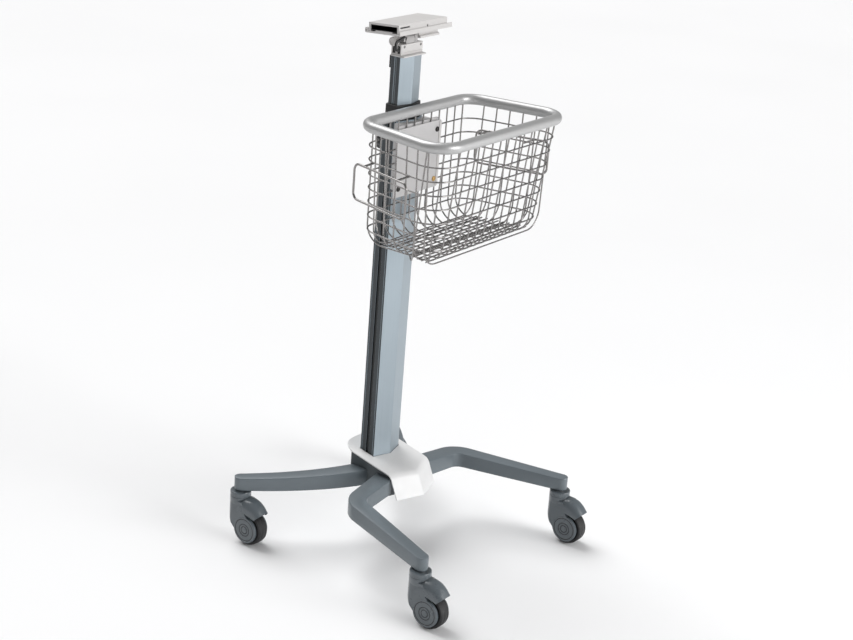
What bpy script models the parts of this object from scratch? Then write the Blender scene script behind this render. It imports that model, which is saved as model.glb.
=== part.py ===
"""Height-adjustable roll stand for a patient monitor: solids of every separate piece.

Metres, +Z up. The stand faces -Y. Every size below is measured from the column's axis and
the floor; the whole stand is parented to one empty, which centres its footprint on the origin.
"""
import math

import bmesh
import bpy
from mathutils import Vector

# ---------------------------------------------------------------- clearances
GAP = 0.0003            # between neighbouring solids
RUNNING = 0.0005        # between a sliding or turning piece and its guide

# ---------------------------------------------------------------- casters
WHEEL_RADIUS = 0.0375
TYRE_HALF_WIDTH = 0.0135
TYRE_DEPTH = 0.0093
AXLE_RADIUS = 0.0040
WHEEL_BOSS_RADIUS = 0.0100
TRAIL = 0.0320
FRONT_CASTER_X = 0.2563
FRONT_CASTER_Y = -0.3160
REAR_CASTER_X = 0.2471
REAR_CASTER_Y = 0.1790
COLLAR_RADIUS = 0.0226
COLLAR_TOP = 0.1166
COLLAR_HEIGHT = 0.0285
FORK_DISC_RADIUS = 0.0300
FORK_PLATE = 0.0063
FORK_DISC_PROUD = 0.0006
FORK_SIDE_CLEARANCE = 0.0012
WHEEL_WELL_CLEARANCE = 0.0030
STEM_RADIUS = 0.0060
STEM_NUT_RADIUS = 0.0095
STEM_NUT_SPACE = 0.0030
STEM_REACH = 0.0215
PEDAL_HALF_WIDTH = 0.0195
PEDAL_WALL = 0.0025
PEDAL_REACH = 0.0688
PEDAL_TIP_Z = 0.0791
PEDAL_PIVOT = (-0.0280, 0.0840)     # y and z, between the fork's cheeks
TRUNNION_RADIUS = 0.0025

# ---------------------------------------------------------------- base
LEG_ROOT_TOP = 0.1680
LEG_ROOT_DEPTH = 0.0360
LEG_TIP_DEPTH = 0.0290
LEG_TIP_RADIUS = 0.0145
LEG_EDGE = 0.0040
FRONT_LEG_ROOT_Y = -0.0625
FRONT_LEG_ROOT_WIDTH = 0.0440
FRONT_LEG_BEND_X = 0.1800
FRONT_LEG_BEND_Y = -0.0770
FRONT_LEG_BEND_RADIUS = 0.0450
REAR_LEG_ROOT_Y = 0.0050
REAR_LEG_ROOT_WIDTH = 0.0420
REAR_LEG_BEND_X = 0.1600
REAR_LEG_BEND_Y = 0.0640
HUB_HALF_WIDTH = 0.0600
HUB_BOTTOM = 0.1260
HUB_BACK_Y = 0.0300
HUB_TAIL_Y = 0.0470
HUB_TAIL_HALF_WIDTH = 0.0340
HUB_SHOULDER_Y = -0.0790
HUB_NOSE_Y = -0.0960
COLUMN_SEAT = 0.1500
COVER_HEIGHT = 0.1995   # outer surface of the cover at the column's axis
COVER_SLOPE = 0.22
COVER_HALF_WIDTH = 0.0670
COVER_WALL = 0.0030
COVER_DROOP = 0.0030
COVER_TAIL_Y = 0.0540
COVER_TAIL_CUT = 0.0300
COVER_CREASE_Y = -0.0850
COVER_FRONT_Y = -0.1070
COVER_PROW = 0.0240
COVER_FRONT_Z = 0.1280
COVER_CREASE_RADIUS = 0.0200
COVER_TO_HUB = 0.0015

# ---------------------------------------------------------------- column and mast
COLUMN_TOP = 0.9400
COLUMN_HALF_WIDTH = 0.0440
COLUMN_SIDE_HALF = 0.0185
COLUMN_APEX = 0.0295
COLUMN_SIDE_WALL = 0.0065
COLUMN_WALL = 0.0026
SLOT_MOUTH = 0.0080
SLOT_LIP = 0.0016
SLOT_WIDTH = 0.0130
SLOT_DEPTH = 0.0042
MAST_BOTTOM = COLUMN_TOP - 0.4600
MAST_TOP = COLUMN_TOP + 0.1295
MAST_HALF_WIDTH = 0.0355
MAST_SIDE_HALF = 0.0118
MAST_APEX = 0.0207
MAST_WALL = 0.0025
CLIP_LEFT = -0.0330
CLIP_RIGHT = -0.0130
CLIP_DEPTH = 0.0048
CLIP_HEIGHT = 0.0250
BUSH_TOP = COLUMN_TOP + 0.0320
BUSH_SLEEVE = 0.0400
BUSH_COLLAR_OVERHANG = 0.0035
BUSH_EDGE = 0.0012
GLIDE_HEIGHT = 0.0300
PLUG_BOTTOM = MAST_BOTTOM + 0.0850
PLUG_HEIGHT = 0.0120
GAS_CYLINDER_RADIUS = 0.0110
GAS_CYLINDER_TOP = MAST_BOTTOM
GAS_CYLINDER_WALL = 0.0015
GAS_ROD_RADIUS = 0.0040
GAS_ROD_BOTTOM = COLUMN_SEAT + 0.0950
LOCK_KNOB_Z = COLUMN_TOP - 0.0600
LOCK_KNOB_RADIUS = 0.0180
LOCK_KNOB_LENGTH = 0.0200
LOCK_STUD_RADIUS = 0.0040

# ---------------------------------------------------------------- basket
RIM_Z = COLUMN_TOP + 0.0210
RIM_RADIUS = 0.0113
RIM_BACK_Y = -0.0358
RIM_FRONT_Y = -0.2598
RIM_BACK_HALF = 0.1787
RIM_FRONT_HALF = 0.2164
RIM_CORNER = 0.0450
BASKET_DEPTH = 0.2480
BASKET_WALL = 0.0020
BASKET_BACK_Y = -0.0415
BASKET_SIDE_TAPER = 0.0150
BASKET_FRONT_TAPER = 0.0300
BASKET_BOTTOM_RADIUS = 0.0420
PLATE_HALF_WIDTH = 0.0740
PLATE_TOP = COLUMN_TOP - 0.0070
PLATE_BOTTOM = COLUMN_TOP - 0.1500
PLATE_THICKNESS = 0.0025
BRACKET_HALF_WIDTH = 0.0680
BRACKET_CORE = 0.0500
BRACKET_WING = 0.0045
BRACKET_TOP = COLUMN_TOP - 0.0020
BRACKET_BOTTOM = COLUMN_TOP - 0.1400
SCREW_X = 0.0600
SCREW_INSET = 0.0185
SCREW_RADIUS = 0.0025
SCREW_HEAD_RADIUS = 0.0055
SCREW_HEAD_HEIGHT = 0.0030
SCREW_LENGTH = 0.0120
LOOP_WIRE = 0.0023
LOOP_STUB_RADIUS = 0.0019
LOOP_TOP = COLUMN_TOP - 0.0500
LOOP_BOTTOM = COLUMN_TOP - 0.1220
LOOP_BACK = (0.2050, -0.0460)
LOOP_FRONT = (0.2450, -0.2050)
LOOP_CORNER = 0.0140
LOOP_STUB_INSET = 0.0300

# ---------------------------------------------------------------- head
FLANGE_HALF_WIDTH = 0.0370
FLANGE_FRONT = 0.0215
FLANGE_SHOULDER = 0.0130
FLANGE_APEX = 0.0222
FLANGE_THICKNESS = 0.0030
BLOCK_HALF_LENGTH = 0.0355
BLOCK_HALF_DEPTH = 0.0125
BLOCK_HEIGHT = 0.0214
BLOCK_WALL = 0.0025
TILT_AXIS_Z = MAST_TOP + 0.0325
TILT_AT_REST = math.radians(4.3)    # the seat leans back by this much
YOKE_HALF_WIDTH = 0.0180
YOKE_RADIUS = 0.0105
PIN_RADIUS = 0.0030
CRADLE_WALL = 0.0041
CRADLE_HALF_DEPTH = 0.0085
CRADLE_DROP = 0.0045
SEAT_UNDERSIDE = 0.0168             # above the tilt axis
SEAT_FLOOR = 0.0040
SEAT_HALF_WIDTH = 0.0405
SEAT_FLANGE = 0.0023
SEAT_FLANGE_HEIGHT = 0.0092
SEAT_LEFT = -0.0780
SEAT_RIGHT = 0.0955
EAR_REACH = 0.0070
EAR_HEIGHT = 0.0106
EAR_THICKNESS = 0.0050
EAR_CORNER = 0.0030
EAR_HOLE_RADIUS = 0.0022
SEAT_RIDGE_HALF = 0.0210
SEAT_RIDGE_HEIGHT = 0.0024
CHANNEL_RIGHT = 0.0820
CHANNEL_HALF_WIDTH = 0.0378
CHANNEL_HEIGHT = 0.0173
CHANNEL_SIDE_WALL = 0.0048
CHANNEL_ROOF = 0.0044
CHANNEL_END_WALL = 0.0060
RAIL_LEFT = 0.0275
RAIL_RIGHT = 0.0920
RAIL_WEB_HALF = 0.0070
RAIL_LIP_HALF = 0.0115
RAIL_LIP_DEPTH = 0.0040
RAIL_NECK_Z = 0.0045                # above the tilt axis
TILT_KNOB_RADIUS = 0.0095
TILT_KNOB_LENGTH = 0.0140
TILT_KNOB_FACE = 0.0368
LEVER_THICKNESS = 0.0050
LEVER_PIVOT = (-0.0280, 0.0095)     # x and height above the tilt axis
LEVER_FACE_Y = -0.0175
LEVER_STUD_RADIUS = 0.0015
LEVER_LUG_HALF = 0.0030
LEVER_LUG_DEPTH = 0.0040

FOOTPRINT_FRONT = FRONT_CASTER_Y - PEDAL_REACH
FOOTPRINT_BACK = REAR_CASTER_Y + COLLAR_RADIUS
STAND_Y = -(FOOTPRINT_FRONT + FOOTPRINT_BACK) / 2


# ---------------------------------------------------------------- outlines
def hexagon(half_width, side_half, apex):
    """Plan of the column: flat sides along Y, with a shallow prow at front and back."""
    return [(half_width, -side_half), (half_width, side_half), (0.0, apex),
            (-half_width, side_half), (-half_width, -side_half), (0.0, -apex)]


def rectangle(u0, v0, u1, v1):
    return [(u0, v0), (u1, v0), (u1, v1), (u0, v1)]


def rounded(corners, radius, steps):
    """Closed outline with an arc of the radius at every corner."""
    points = []
    count = len(corners)
    for index, corner in enumerate(corners):
        points += fillet(corners[index - 1], corner, corners[(index + 1) % count], radius, steps)
    return points


def fillet(before, corner, after, radius, steps):
    """Arc that joins two straight runs which meet at the corner."""
    here = Vector(corner)
    back = (Vector(before) - here).normalized()
    ahead = (Vector(after) - here).normalized()
    half = back.angle(ahead) / 2
    centre = here + (back + ahead).normalized() * radius / math.sin(half)
    start = here + back * radius / math.tan(half) - centre
    end = here + ahead * radius / math.tan(half) - centre
    swing = start.angle(end)
    points = []
    for step in range(steps + 1):
        share = step / steps
        arm = (start * math.sin((1 - share) * swing) + end * math.sin(share * swing)) / math.sin(swing)
        points.append(tuple(centre + arm))
    return points


def arc(centre, radius, start, end, steps):
    points = []
    for step in range(steps + 1):
        angle = math.radians(start + (end - start) * step / steps)
        points.append((centre[0] + radius * math.cos(angle), centre[1] + radius * math.sin(angle)))
    return points


# ---------------------------------------------------------------- solids
AXES = {"X": lambda u, v, h: (h, u, v), "Y": lambda u, v, h: (u, h, v), "Z": lambda u, v, h: (u, v, h)}


def finish_mesh(name, bm, smooth=False):
    bmesh.ops.recalc_face_normals(bm, faces=bm.faces)
    mesh = bpy.data.meshes.new(name)
    bm.to_mesh(mesh)
    bm.free()
    if smooth:
        mesh.shade_smooth()
        mesh.set_sharp_from_angle(angle=math.radians(35))
    return mesh


def loft(name, rings, closed=False, smooth=False):
    """Solid through rings of matching points, capped unless its last ring joins its first."""
    bm = bmesh.new()
    loops = [[bm.verts.new(point) for point in ring] for ring in rings]
    count = len(loops[0])
    followers = loops[1:] + loops[:1] if closed else loops[1:]
    for near, far in zip(loops, followers):
        for index in range(count):
            after = (index + 1) % count
            bm.faces.new((near[index], near[after], far[after], far[index]))
    if not closed:
        bm.faces.new(list(reversed(loops[0])))
        bm.faces.new(loops[-1])
    return finish_mesh(name, bm, smooth)


def prism(name, outline, axis, low, high):
    place = AXES[axis]
    return loft(name, [[place(u, v, low) for u, v in outline], [place(u, v, high) for u, v in outline]])


def tube_prism(name, outer, inner, low, high):
    """Upright tube between two outlines with the same number of points."""
    rings = [[(u, v, low) for u, v in outer], [(u, v, high) for u, v in outer],
             [(u, v, high) for u, v in inner], [(u, v, low) for u, v in inner]]
    return loft(name, rings, closed=True)


def turned(name, profile, axis, steps, hollow=False):
    """Lathe work: every profile point is (radius, place along the axis). Solid work gets flat ends."""
    place = AXES[axis]
    rings = []
    for radius, along in profile:
        turns = [math.tau * step / steps for step in range(steps)]
        rings.append([place(radius * math.cos(turn), radius * math.sin(turn), along) for turn in turns])
    return loft(name, rings, closed=hollow, smooth=True)


def rod(name, radius, axis, low, high, steps=12):
    return turned(name, [(radius, low), (radius, high)], axis, steps)


def swept_ring(name, path, normal, radius, sides):
    """Round bar along a closed flat path; normal is the path's own plane normal."""
    up = Vector(normal).normalized()
    points = [Vector(point) for point in path]
    rings = []
    for index, point in enumerate(points):
        arriving = (point - points[index - 1]).normalized()
        leaving = (points[(index + 1) % len(points)] - point).normalized()
        tangent = (arriving + leaving).normalized()
        stretch = 1 / max(arriving.dot(tangent), 0.5)
        side = tangent.cross(up) * stretch
        turns = [math.tau * step / sides for step in range(sides)]
        rings.append([point + side * radius * math.cos(turn) + up * radius * math.sin(turn)
                      for turn in turns])
    return loft(name, rings, closed=True, smooth=True)


# ---------------------------------------------------------------- objects
def paint(name, color, roughness, metallic):
    material = bpy.data.materials.new(name)
    material.use_nodes = True
    shader = material.node_tree.nodes["Principled BSDF"]
    shader.inputs["Base Color"].default_value = (*color, 1.0)
    shader.inputs["Roughness"].default_value = roughness
    shader.inputs["Metallic"].default_value = metallic
    material.diffuse_color = (*color, 1.0)
    return material


def piece(name, mesh, material, parent, place=(0, 0, 0)):
    if not mesh.materials:
        mesh.materials.append(material)
    thing = bpy.data.objects.new(name, mesh)
    bpy.context.collection.objects.link(thing)
    thing.parent = parent
    thing.location = place
    return thing


def pivot(name, parent, place, lean=0.0):
    """Empty on a joint's axis, which carries the pieces that move about it."""
    empty = bpy.data.objects.new(name, None)
    bpy.context.collection.objects.link(empty)
    empty.parent = parent
    empty.location = place
    empty.rotation_euler = (lean, 0, 0)
    return empty


def carve(target, mesh, operation="DIFFERENCE", place=(0, 0, 0)):
    """Boolean with a hidden tool, which shares the target's parent."""
    tool = bpy.data.objects.new("tool_" + mesh.name, mesh)
    bpy.context.collection.objects.link(tool)
    tool.parent = target.parent
    tool.location = Vector(target.location) + Vector(place)
    tool.hide_render = True
    tool.display_type = "WIRE"
    step = target.modifiers.new(operation.lower(), "BOOLEAN")
    step.operation = operation
    step.solver = "EXACT"
    step.object = tool
    return tool


def hardened(draft, tools):
    """Mesh of a draft with its booleans done, so that several objects can share it."""
    bpy.context.view_layer.update()
    graph = bpy.context.evaluated_depsgraph_get()
    mesh = bpy.data.meshes.new_from_object(draft.evaluated_get(graph))
    for thing in [draft] + tools:
        bpy.data.objects.remove(thing)
    mesh.set_sharp_from_angle(angle=math.radians(35))
    return mesh


# ---------------------------------------------------------------- base
def leg_rings(path, widths, sign):
    """Sections of a leg along its plan path, which starts square to the hub's side wall."""
    lengths = [0.0]
    for near, far in zip(path, path[1:]):
        lengths.append(lengths[-1] + (Vector(far) - Vector(near)).length)
    tip_top = COLLAR_TOP + STEM_NUT_SPACE + LEG_TIP_DEPTH
    rings = []
    for index, point in enumerate(path):
        share = lengths[index] / lengths[-1]
        top = LEG_ROOT_TOP + (tip_top - LEG_ROOT_TOP) * share
        depth = LEG_ROOT_DEPTH + (LEG_TIP_DEPTH - LEG_ROOT_DEPTH) * share
        back = Vector(path[max(index - 1, 0)])
        ahead = Vector(path[min(index + 1, len(path) - 1)])
        along = (ahead - back).normalized() if index else Vector((1.0, 0.0))
        side = Vector((-along.y, along.x))
        half = widths[index] / 2
        edge = min(LEG_EDGE, half * 0.4)
        section = [(-half, top - depth + edge), (-half + edge, top - depth), (half - edge, top - depth),
                   (half, top - depth + edge), (half, top - edge), (half - edge, top),
                   (-half + edge, top), (-half, top - edge)]
        rings.append([(sign * (point[0] + side.x * u), point[1] + side.y * u, z) for u, z in section])
    return rings


def leg_path(run, root_width, tip):
    """Adds a round end about the caster's axis, and gives the width at every point."""
    end = Vector(tip)
    last = Vector(run[-1])
    heading = (end - last).normalized()
    path = list(run)
    path.append(tuple(end))
    full = 2 * LEG_TIP_RADIUS
    reach = (end - Vector(run[0])).length
    widths = []
    for point in run:
        share = (Vector(point) - Vector(run[0])).length / reach
        widths.append(root_width + (full - root_width) * share)
    widths.append(full)
    for angle in (30, 55, 75, 86):
        turn = math.radians(angle)
        path.append(tuple(end + heading * LEG_TIP_RADIUS * math.sin(turn)))
        widths.append(full * math.cos(turn))
    return path, widths


def front_leg_run():
    root = (HUB_HALF_WIDTH + GAP, FRONT_LEG_ROOT_Y)
    bend = (FRONT_LEG_BEND_X, FRONT_LEG_BEND_Y)
    tip = (FRONT_CASTER_X, FRONT_CASTER_Y)
    run = [root, (root[0] + 0.02, FRONT_LEG_ROOT_Y - 0.002)]
    run += fillet(root, bend, tip, FRONT_LEG_BEND_RADIUS, 6)
    last = Vector(run[-1])
    run.append(tuple(last.lerp(Vector(tip), 0.5)))
    return run, tip


def rear_leg_run():
    root = Vector((HUB_HALF_WIDTH + GAP, REAR_LEG_ROOT_Y))
    bend = Vector((REAR_LEG_BEND_X, REAR_LEG_BEND_Y))
    tip = Vector((REAR_CASTER_X, REAR_CASTER_Y))
    run = []
    for step in range(8):
        share = step / 8
        run.append(tuple(root.lerp(bend, share).lerp(bend.lerp(tip, share), share)))
    return run, tuple(tip)


def build_legs(stand, steel):
    stem_hole = STEM_RADIUS + GAP
    bottom = COLLAR_TOP + STEM_NUT_SPACE
    for side, sign in (("left", -1), ("right", 1)):
        for end, run_of, root_width in (("front", front_leg_run, FRONT_LEG_ROOT_WIDTH),
                                        ("rear", rear_leg_run, REAR_LEG_ROOT_WIDTH)):
            run, tip = run_of()
            path, widths = leg_path(run, root_width, tip)
            leg = piece(f"{end}_leg_{side}", loft("leg", leg_rings(path, widths, sign), smooth=True),
                        steel, stand)
            bore = rod("stem_bore", stem_hole, "Z", -0.01, STEM_REACH + GAP)
            carve(leg, bore, place=(sign * tip[0], tip[1], bottom))


def cover_top(y):
    return COVER_HEIGHT + COVER_SLOPE * y


def build_hub(stand, steel):
    plan = [(HUB_HALF_WIDTH, HUB_SHOULDER_Y), (HUB_HALF_WIDTH, HUB_BACK_Y),
            (HUB_TAIL_HALF_WIDTH, HUB_TAIL_Y), (-HUB_TAIL_HALF_WIDTH, HUB_TAIL_Y),
            (-HUB_HALF_WIDTH, HUB_BACK_Y), (-HUB_HALF_WIDTH, HUB_SHOULDER_Y), (0.0, HUB_NOSE_Y)]
    drop = COVER_WALL + COVER_DROOP + COVER_TO_HUB
    rings = [[(x, y, HUB_BOTTOM) for x, y in plan], [(x, y, cover_top(y) - drop) for x, y in plan]]
    hub = piece("hub_casting", loft("hub", rings), steel, stand)
    pocket = hexagon(COLUMN_HALF_WIDTH + GAP, COLUMN_SIDE_HALF + GAP, COLUMN_APEX + GAP)
    carve(hub, prism("column_pocket", pocket, "Z", COLUMN_SEAT, COVER_HEIGHT + 0.05))


def cover_profile(x):
    """Side view of the cover's shell at one place across its width."""
    share = abs(x) / COVER_HALF_WIDTH
    droop = COVER_DROOP * share ** 4
    forward = COVER_PROW * (1 - share)
    tail = COVER_TAIL_Y - COVER_TAIL_CUT * share ** 6
    crease = COVER_CREASE_Y - forward
    foot = COVER_FRONT_Y - forward
    outer = [(tail, cover_top(tail) - droop)]
    outer += fillet(outer[0], (crease, cover_top(crease) - droop), (foot, COVER_FRONT_Z),
                    COVER_CREASE_RADIUS, 5)
    outer.append((foot, COVER_FRONT_Z))
    rise = cover_top(crease) - COVER_FRONT_Z
    lean = math.hypot(foot - crease, rise) / rise
    inner_crease = crease + COVER_WALL * lean
    inner_foot = foot + COVER_WALL * lean
    under = [(tail, cover_top(tail) - droop - COVER_WALL)]
    under += fillet(under[0], (inner_crease, cover_top(inner_crease) - droop - COVER_WALL),
                    (inner_foot, COVER_FRONT_Z), COVER_CREASE_RADIUS - COVER_WALL, 5)
    under.append((inner_foot, COVER_FRONT_Z))
    return outer + list(reversed(under))


def build_cover(stand, plastic):
    stations = [-1.0, -0.94, -0.85, -0.7, -0.35, 0.0, 0.35, 0.7, 0.85, 0.94, 1.0]
    rings = []
    for share in stations:
        x = share * COVER_HALF_WIDTH
        rings.append([(x, y, z) for y, z in cover_profile(x)])
    cover = piece("base_cover", loft("cover", rings, smooth=True), plastic, stand)
    spare = 2 * RUNNING
    hole = hexagon(COLUMN_HALF_WIDTH + spare, COLUMN_SIDE_HALF + spare, COLUMN_APEX + spare)
    carve(cover, prism("cover_hole", hole, "Z", COVER_HEIGHT - 0.05, COVER_HEIGHT + 0.05))


# ---------------------------------------------------------------- column, mast and gas spring
def column_outline():
    """Outer outline, with a T-slot down the middle of each flat side."""
    half = COLUMN_HALF_WIDTH
    lip = half - SLOT_LIP
    floor = half - SLOT_DEPTH
    mouth = SLOT_MOUTH / 2
    room = SLOT_WIDTH / 2
    slot = [(half, -mouth), (lip, -mouth), (lip, -room), (floor, -room),
            (floor, room), (lip, room), (lip, mouth), (half, mouth)]
    right = [(half, -COLUMN_SIDE_HALF)] + slot + [(half, COLUMN_SIDE_HALF)]
    left = [(-x, -y) for x, y in right]
    return right + [(0.0, COLUMN_APEX)] + left + [(0.0, -COLUMN_APEX)]


def column_bore():
    return hexagon(COLUMN_HALF_WIDTH - COLUMN_SIDE_WALL, COLUMN_SIDE_HALF - 0.0010,
                   COLUMN_APEX - COLUMN_WALL)


def grown(outline, extra):
    """A column-like hexagon moved outwards by extra."""
    half, side = outline[1]
    return hexagon(half + extra, side + extra * 0.78, outline[2][1] + extra * 1.03)


def mast_outline():
    return hexagon(MAST_HALF_WIDTH, MAST_SIDE_HALF, MAST_APEX)


def build_column(stand, aluminium, black):
    bottom = COLUMN_SEAT + GAP
    column = piece("outer_column", prism("column", column_outline(), "Z", bottom, COLUMN_TOP),
                   aluminium, stand)
    carve(column, prism("column_bore", column_bore(), "Z", bottom - 0.01, COLUMN_TOP + 0.01))
    stud_hole = LOCK_STUD_RADIUS + RUNNING
    hole = rod("stud_hole", stud_hole, "Y", MAST_APEX, COLUMN_APEX + 0.01)
    carve(column, hole, place=(0, 0, LOCK_KNOB_Z))

    seat = COLUMN_TOP + GAP
    collar = grown(mast_outline(), BUSH_COLLAR_OVERHANG)
    brow = grown(mast_outline(), BUSH_COLLAR_OVERHANG - BUSH_EDGE)
    levels = [(collar, seat), (collar, BUSH_TOP - BUSH_EDGE), (brow, BUSH_TOP)]
    bush = piece("column_bush", loft("bush", [[(x, y, z) for x, y in shape] for shape, z in levels]),
                 black, stand)
    sleeve = grown(column_bore(), -GAP)
    carve(bush, prism("bush_sleeve", sleeve, "Z", COLUMN_TOP - BUSH_SLEEVE, seat + BUSH_EDGE), "UNION")
    inside = grown(mast_outline(), RUNNING)
    carve(bush, prism("bush_bore", inside, "Z", COLUMN_TOP - 2 * BUSH_SLEEVE, BUSH_TOP + 0.01))


def build_mast(mast, aluminium, black, steel, cast):
    bore = hexagon(MAST_HALF_WIDTH - MAST_WALL, MAST_SIDE_HALF - 0.0019, MAST_APEX - MAST_WALL - 0.0001)
    piece("mast_tube", tube_prism("mast", mast_outline(), bore, MAST_BOTTOM, MAST_TOP), aluminium, mast)
    guide = tube_prism("glide", grown(column_bore(), -GAP), grown(mast_outline(), GAP),
                       MAST_BOTTOM + 0.002, MAST_BOTTOM + 0.002 + GLIDE_HEIGHT)
    piece("mast_glide", guide, black, mast)
    piece("mast_plug", prism("plug", grown(bore, -GAP), "Z", PLUG_BOTTOM, PLUG_BOTTOM + PLUG_HEIGHT),
          black, mast)
    piston = rod("piston", GAS_ROD_RADIUS, "Z", GAS_ROD_BOTTOM, PLUG_BOTTOM - GAP)
    piece("gas_spring_rod", piston, steel, mast)
    low = MAST_TOP + GAP
    plan = [(FLANGE_HALF_WIDTH, -FLANGE_FRONT), (FLANGE_HALF_WIDTH, FLANGE_SHOULDER), (0.0, FLANGE_APEX),
            (-FLANGE_HALF_WIDTH, FLANGE_SHOULDER), (-FLANGE_HALF_WIDTH, -FLANGE_FRONT)]
    piece("mast_flange", prism("flange", plan, "Z", low, low + FLANGE_THICKNESS), cast, mast)
    piece("cable_clip", cable_clip(), black, mast)


def cable_clip():
    """Flat clip on the mast's rear left facet; it comes down on the bush in the lowest position."""
    facet = (MAST_APEX - MAST_SIDE_HALF) / MAST_HALF_WIDTH
    outline = []
    for depth, left, right in ((GAP * 1.2, CLIP_LEFT, CLIP_RIGHT), (CLIP_DEPTH, CLIP_RIGHT, CLIP_LEFT)):
        for x in (left, right):
            outline.append((x, MAST_APEX - facet * abs(x) + depth))
    return prism("clip", outline, "Z", MAST_TOP - CLIP_HEIGHT, MAST_TOP)


def build_gas_cylinder(stand, black):
    low = COLUMN_SEAT + GAP
    inner = GAS_CYLINDER_RADIUS - GAS_CYLINDER_WALL
    neck = GAS_ROD_RADIUS + RUNNING
    shoulder = GAS_CYLINDER_TOP - 0.0100
    profile = [(GAS_CYLINDER_RADIUS, low), (GAS_CYLINDER_RADIUS, GAS_CYLINDER_TOP),
               (neck, GAS_CYLINDER_TOP), (neck, shoulder), (inner, shoulder), (inner, low + 0.0080)]
    piece("gas_spring_cylinder", turned("cylinder", profile, "Z", 16), black, stand)


def build_lock_knob(knob, black):
    """Hand knob behind the column; its stud goes through the wall and stops at the mast."""
    start = MAST_APEX + 2 * RUNNING
    foot = COLUMN_APEX + 0.0040
    end = foot + LOCK_KNOB_LENGTH
    stud = LOCK_STUD_RADIUS
    profile = [(stud, start), (stud, foot), (LOCK_KNOB_RADIUS * 0.6, foot),
               (LOCK_KNOB_RADIUS, foot + 0.005), (LOCK_KNOB_RADIUS, end - 0.002),
               (LOCK_KNOB_RADIUS - 0.002, end)]
    piece("lock_knob", turned("lock_knob", profile, "Y", 16), black, knob)


# ---------------------------------------------------------------- basket
def basket_plan(inset, z, drop):
    """Rounded trapezoid of the basket at a depth below its rim, moved in by inset."""
    share = drop / BASKET_DEPTH
    back = BASKET_BACK_Y - inset
    front = RIM_FRONT_Y + BASKET_FRONT_TAPER * share + inset
    taper = BASKET_SIDE_TAPER * share + inset
    corners = [(RIM_BACK_HALF - taper, back), (-RIM_BACK_HALF + taper, back),
               (-RIM_FRONT_HALF + taper, front), (RIM_FRONT_HALF - taper, front)]
    corner = max(RIM_CORNER - inset, 0.010)
    return [(x, y, z) for x, y in rounded(corners, corner, 5)]


def basket_rings(top, bottom, inset):
    """Rings down one side of the basket's wall, with a round edge above its floor."""
    start = RIM_Z
    curve = BASKET_BOTTOM_RADIUS - inset
    rings = [basket_plan(inset, top, start - top)]
    rings.append(basket_plan(inset, bottom + curve, start - bottom - curve))
    for angle in (30, 60, 90):
        turn = math.radians(angle)
        z = bottom + curve * (1 - math.sin(turn))
        rings.append(basket_plan(inset + curve * (1 - math.cos(turn)), z, start - z))
    return rings


def build_basket(stand, wire, sheet, satin, steel):
    top = RIM_Z - RIM_RADIUS - GAP
    bottom = RIM_Z - BASKET_DEPTH
    outer = basket_rings(top, bottom, 0.0)
    inner = basket_rings(top, bottom + BASKET_WALL, BASKET_WALL)
    basket = piece("basket", loft("basket", list(reversed(outer)) + inner, smooth=True), wire, stand)

    corners = [(RIM_BACK_HALF, RIM_BACK_Y), (-RIM_BACK_HALF, RIM_BACK_Y),
               (-RIM_FRONT_HALF, RIM_FRONT_Y), (RIM_FRONT_HALF, RIM_FRONT_Y)]
    path = [(x, y, RIM_Z) for x, y in rounded(corners, RIM_CORNER, 6)]
    piece("basket_rim", swept_ring("rim", path, (0, 0, 1), RIM_RADIUS, 10), satin, stand)

    plate_back = BASKET_BACK_Y - BASKET_WALL - GAP
    plate_front = plate_back - PLATE_THICKNESS
    outline = rounded(rectangle(-PLATE_HALF_WIDTH, PLATE_BOTTOM, PLATE_HALF_WIDTH, PLATE_TOP), 0.004, 2)
    plate = piece("basket_plate", prism("plate", outline, "Y", plate_front, plate_back), sheet, stand)

    facet = (COLUMN_APEX - COLUMN_SIDE_HALF) / COLUMN_HALF_WIDTH
    apex = COLUMN_APEX + GAP * 1.1
    wing = apex - facet * COLUMN_HALF_WIDTH
    front = BASKET_BACK_Y + GAP
    ear = front + BRACKET_WING
    saddle = [(-BRACKET_HALF_WIDTH, front), (BRACKET_HALF_WIDTH, front), (BRACKET_HALF_WIDTH, ear),
              (BRACKET_CORE, ear), (BRACKET_CORE, -wing), (COLUMN_HALF_WIDTH, -wing), (0.0, -apex),
              (-COLUMN_HALF_WIDTH, -wing), (-BRACKET_CORE, -wing), (-BRACKET_CORE, ear),
              (-BRACKET_HALF_WIDTH, ear)]
    bracket = piece("basket_bracket", prism("bracket", saddle, "Z", BRACKET_BOTTOM, BRACKET_TOP),
                    sheet, stand)

    shank_hole = SCREW_RADIUS + GAP
    hole = rod("screw_hole", shank_hole, "Y", -0.01, SCREW_LENGTH + GAP, steps=8)
    crown = -GAP - SCREW_HEAD_HEIGHT
    profile = [(SCREW_HEAD_RADIUS * 0.7, crown), (SCREW_HEAD_RADIUS, crown + SCREW_HEAD_HEIGHT / 2),
               (SCREW_HEAD_RADIUS, -GAP), (SCREW_RADIUS, -GAP), (SCREW_RADIUS, SCREW_LENGTH)]
    screw = turned("plate_screw", profile, "Y", 12)
    heights = (PLATE_TOP - SCREW_INSET, PLATE_BOTTOM + SCREW_INSET)
    places = [(x, plate_front, z) for z in heights for x in (-SCREW_X, SCREW_X)]
    for number, place in enumerate(places, start=1):
        piece(f"plate_screw_{number}", screw, steel, stand, place)
        for target in (plate, basket, bracket):
            carve(target, hole, place=place)


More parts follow.
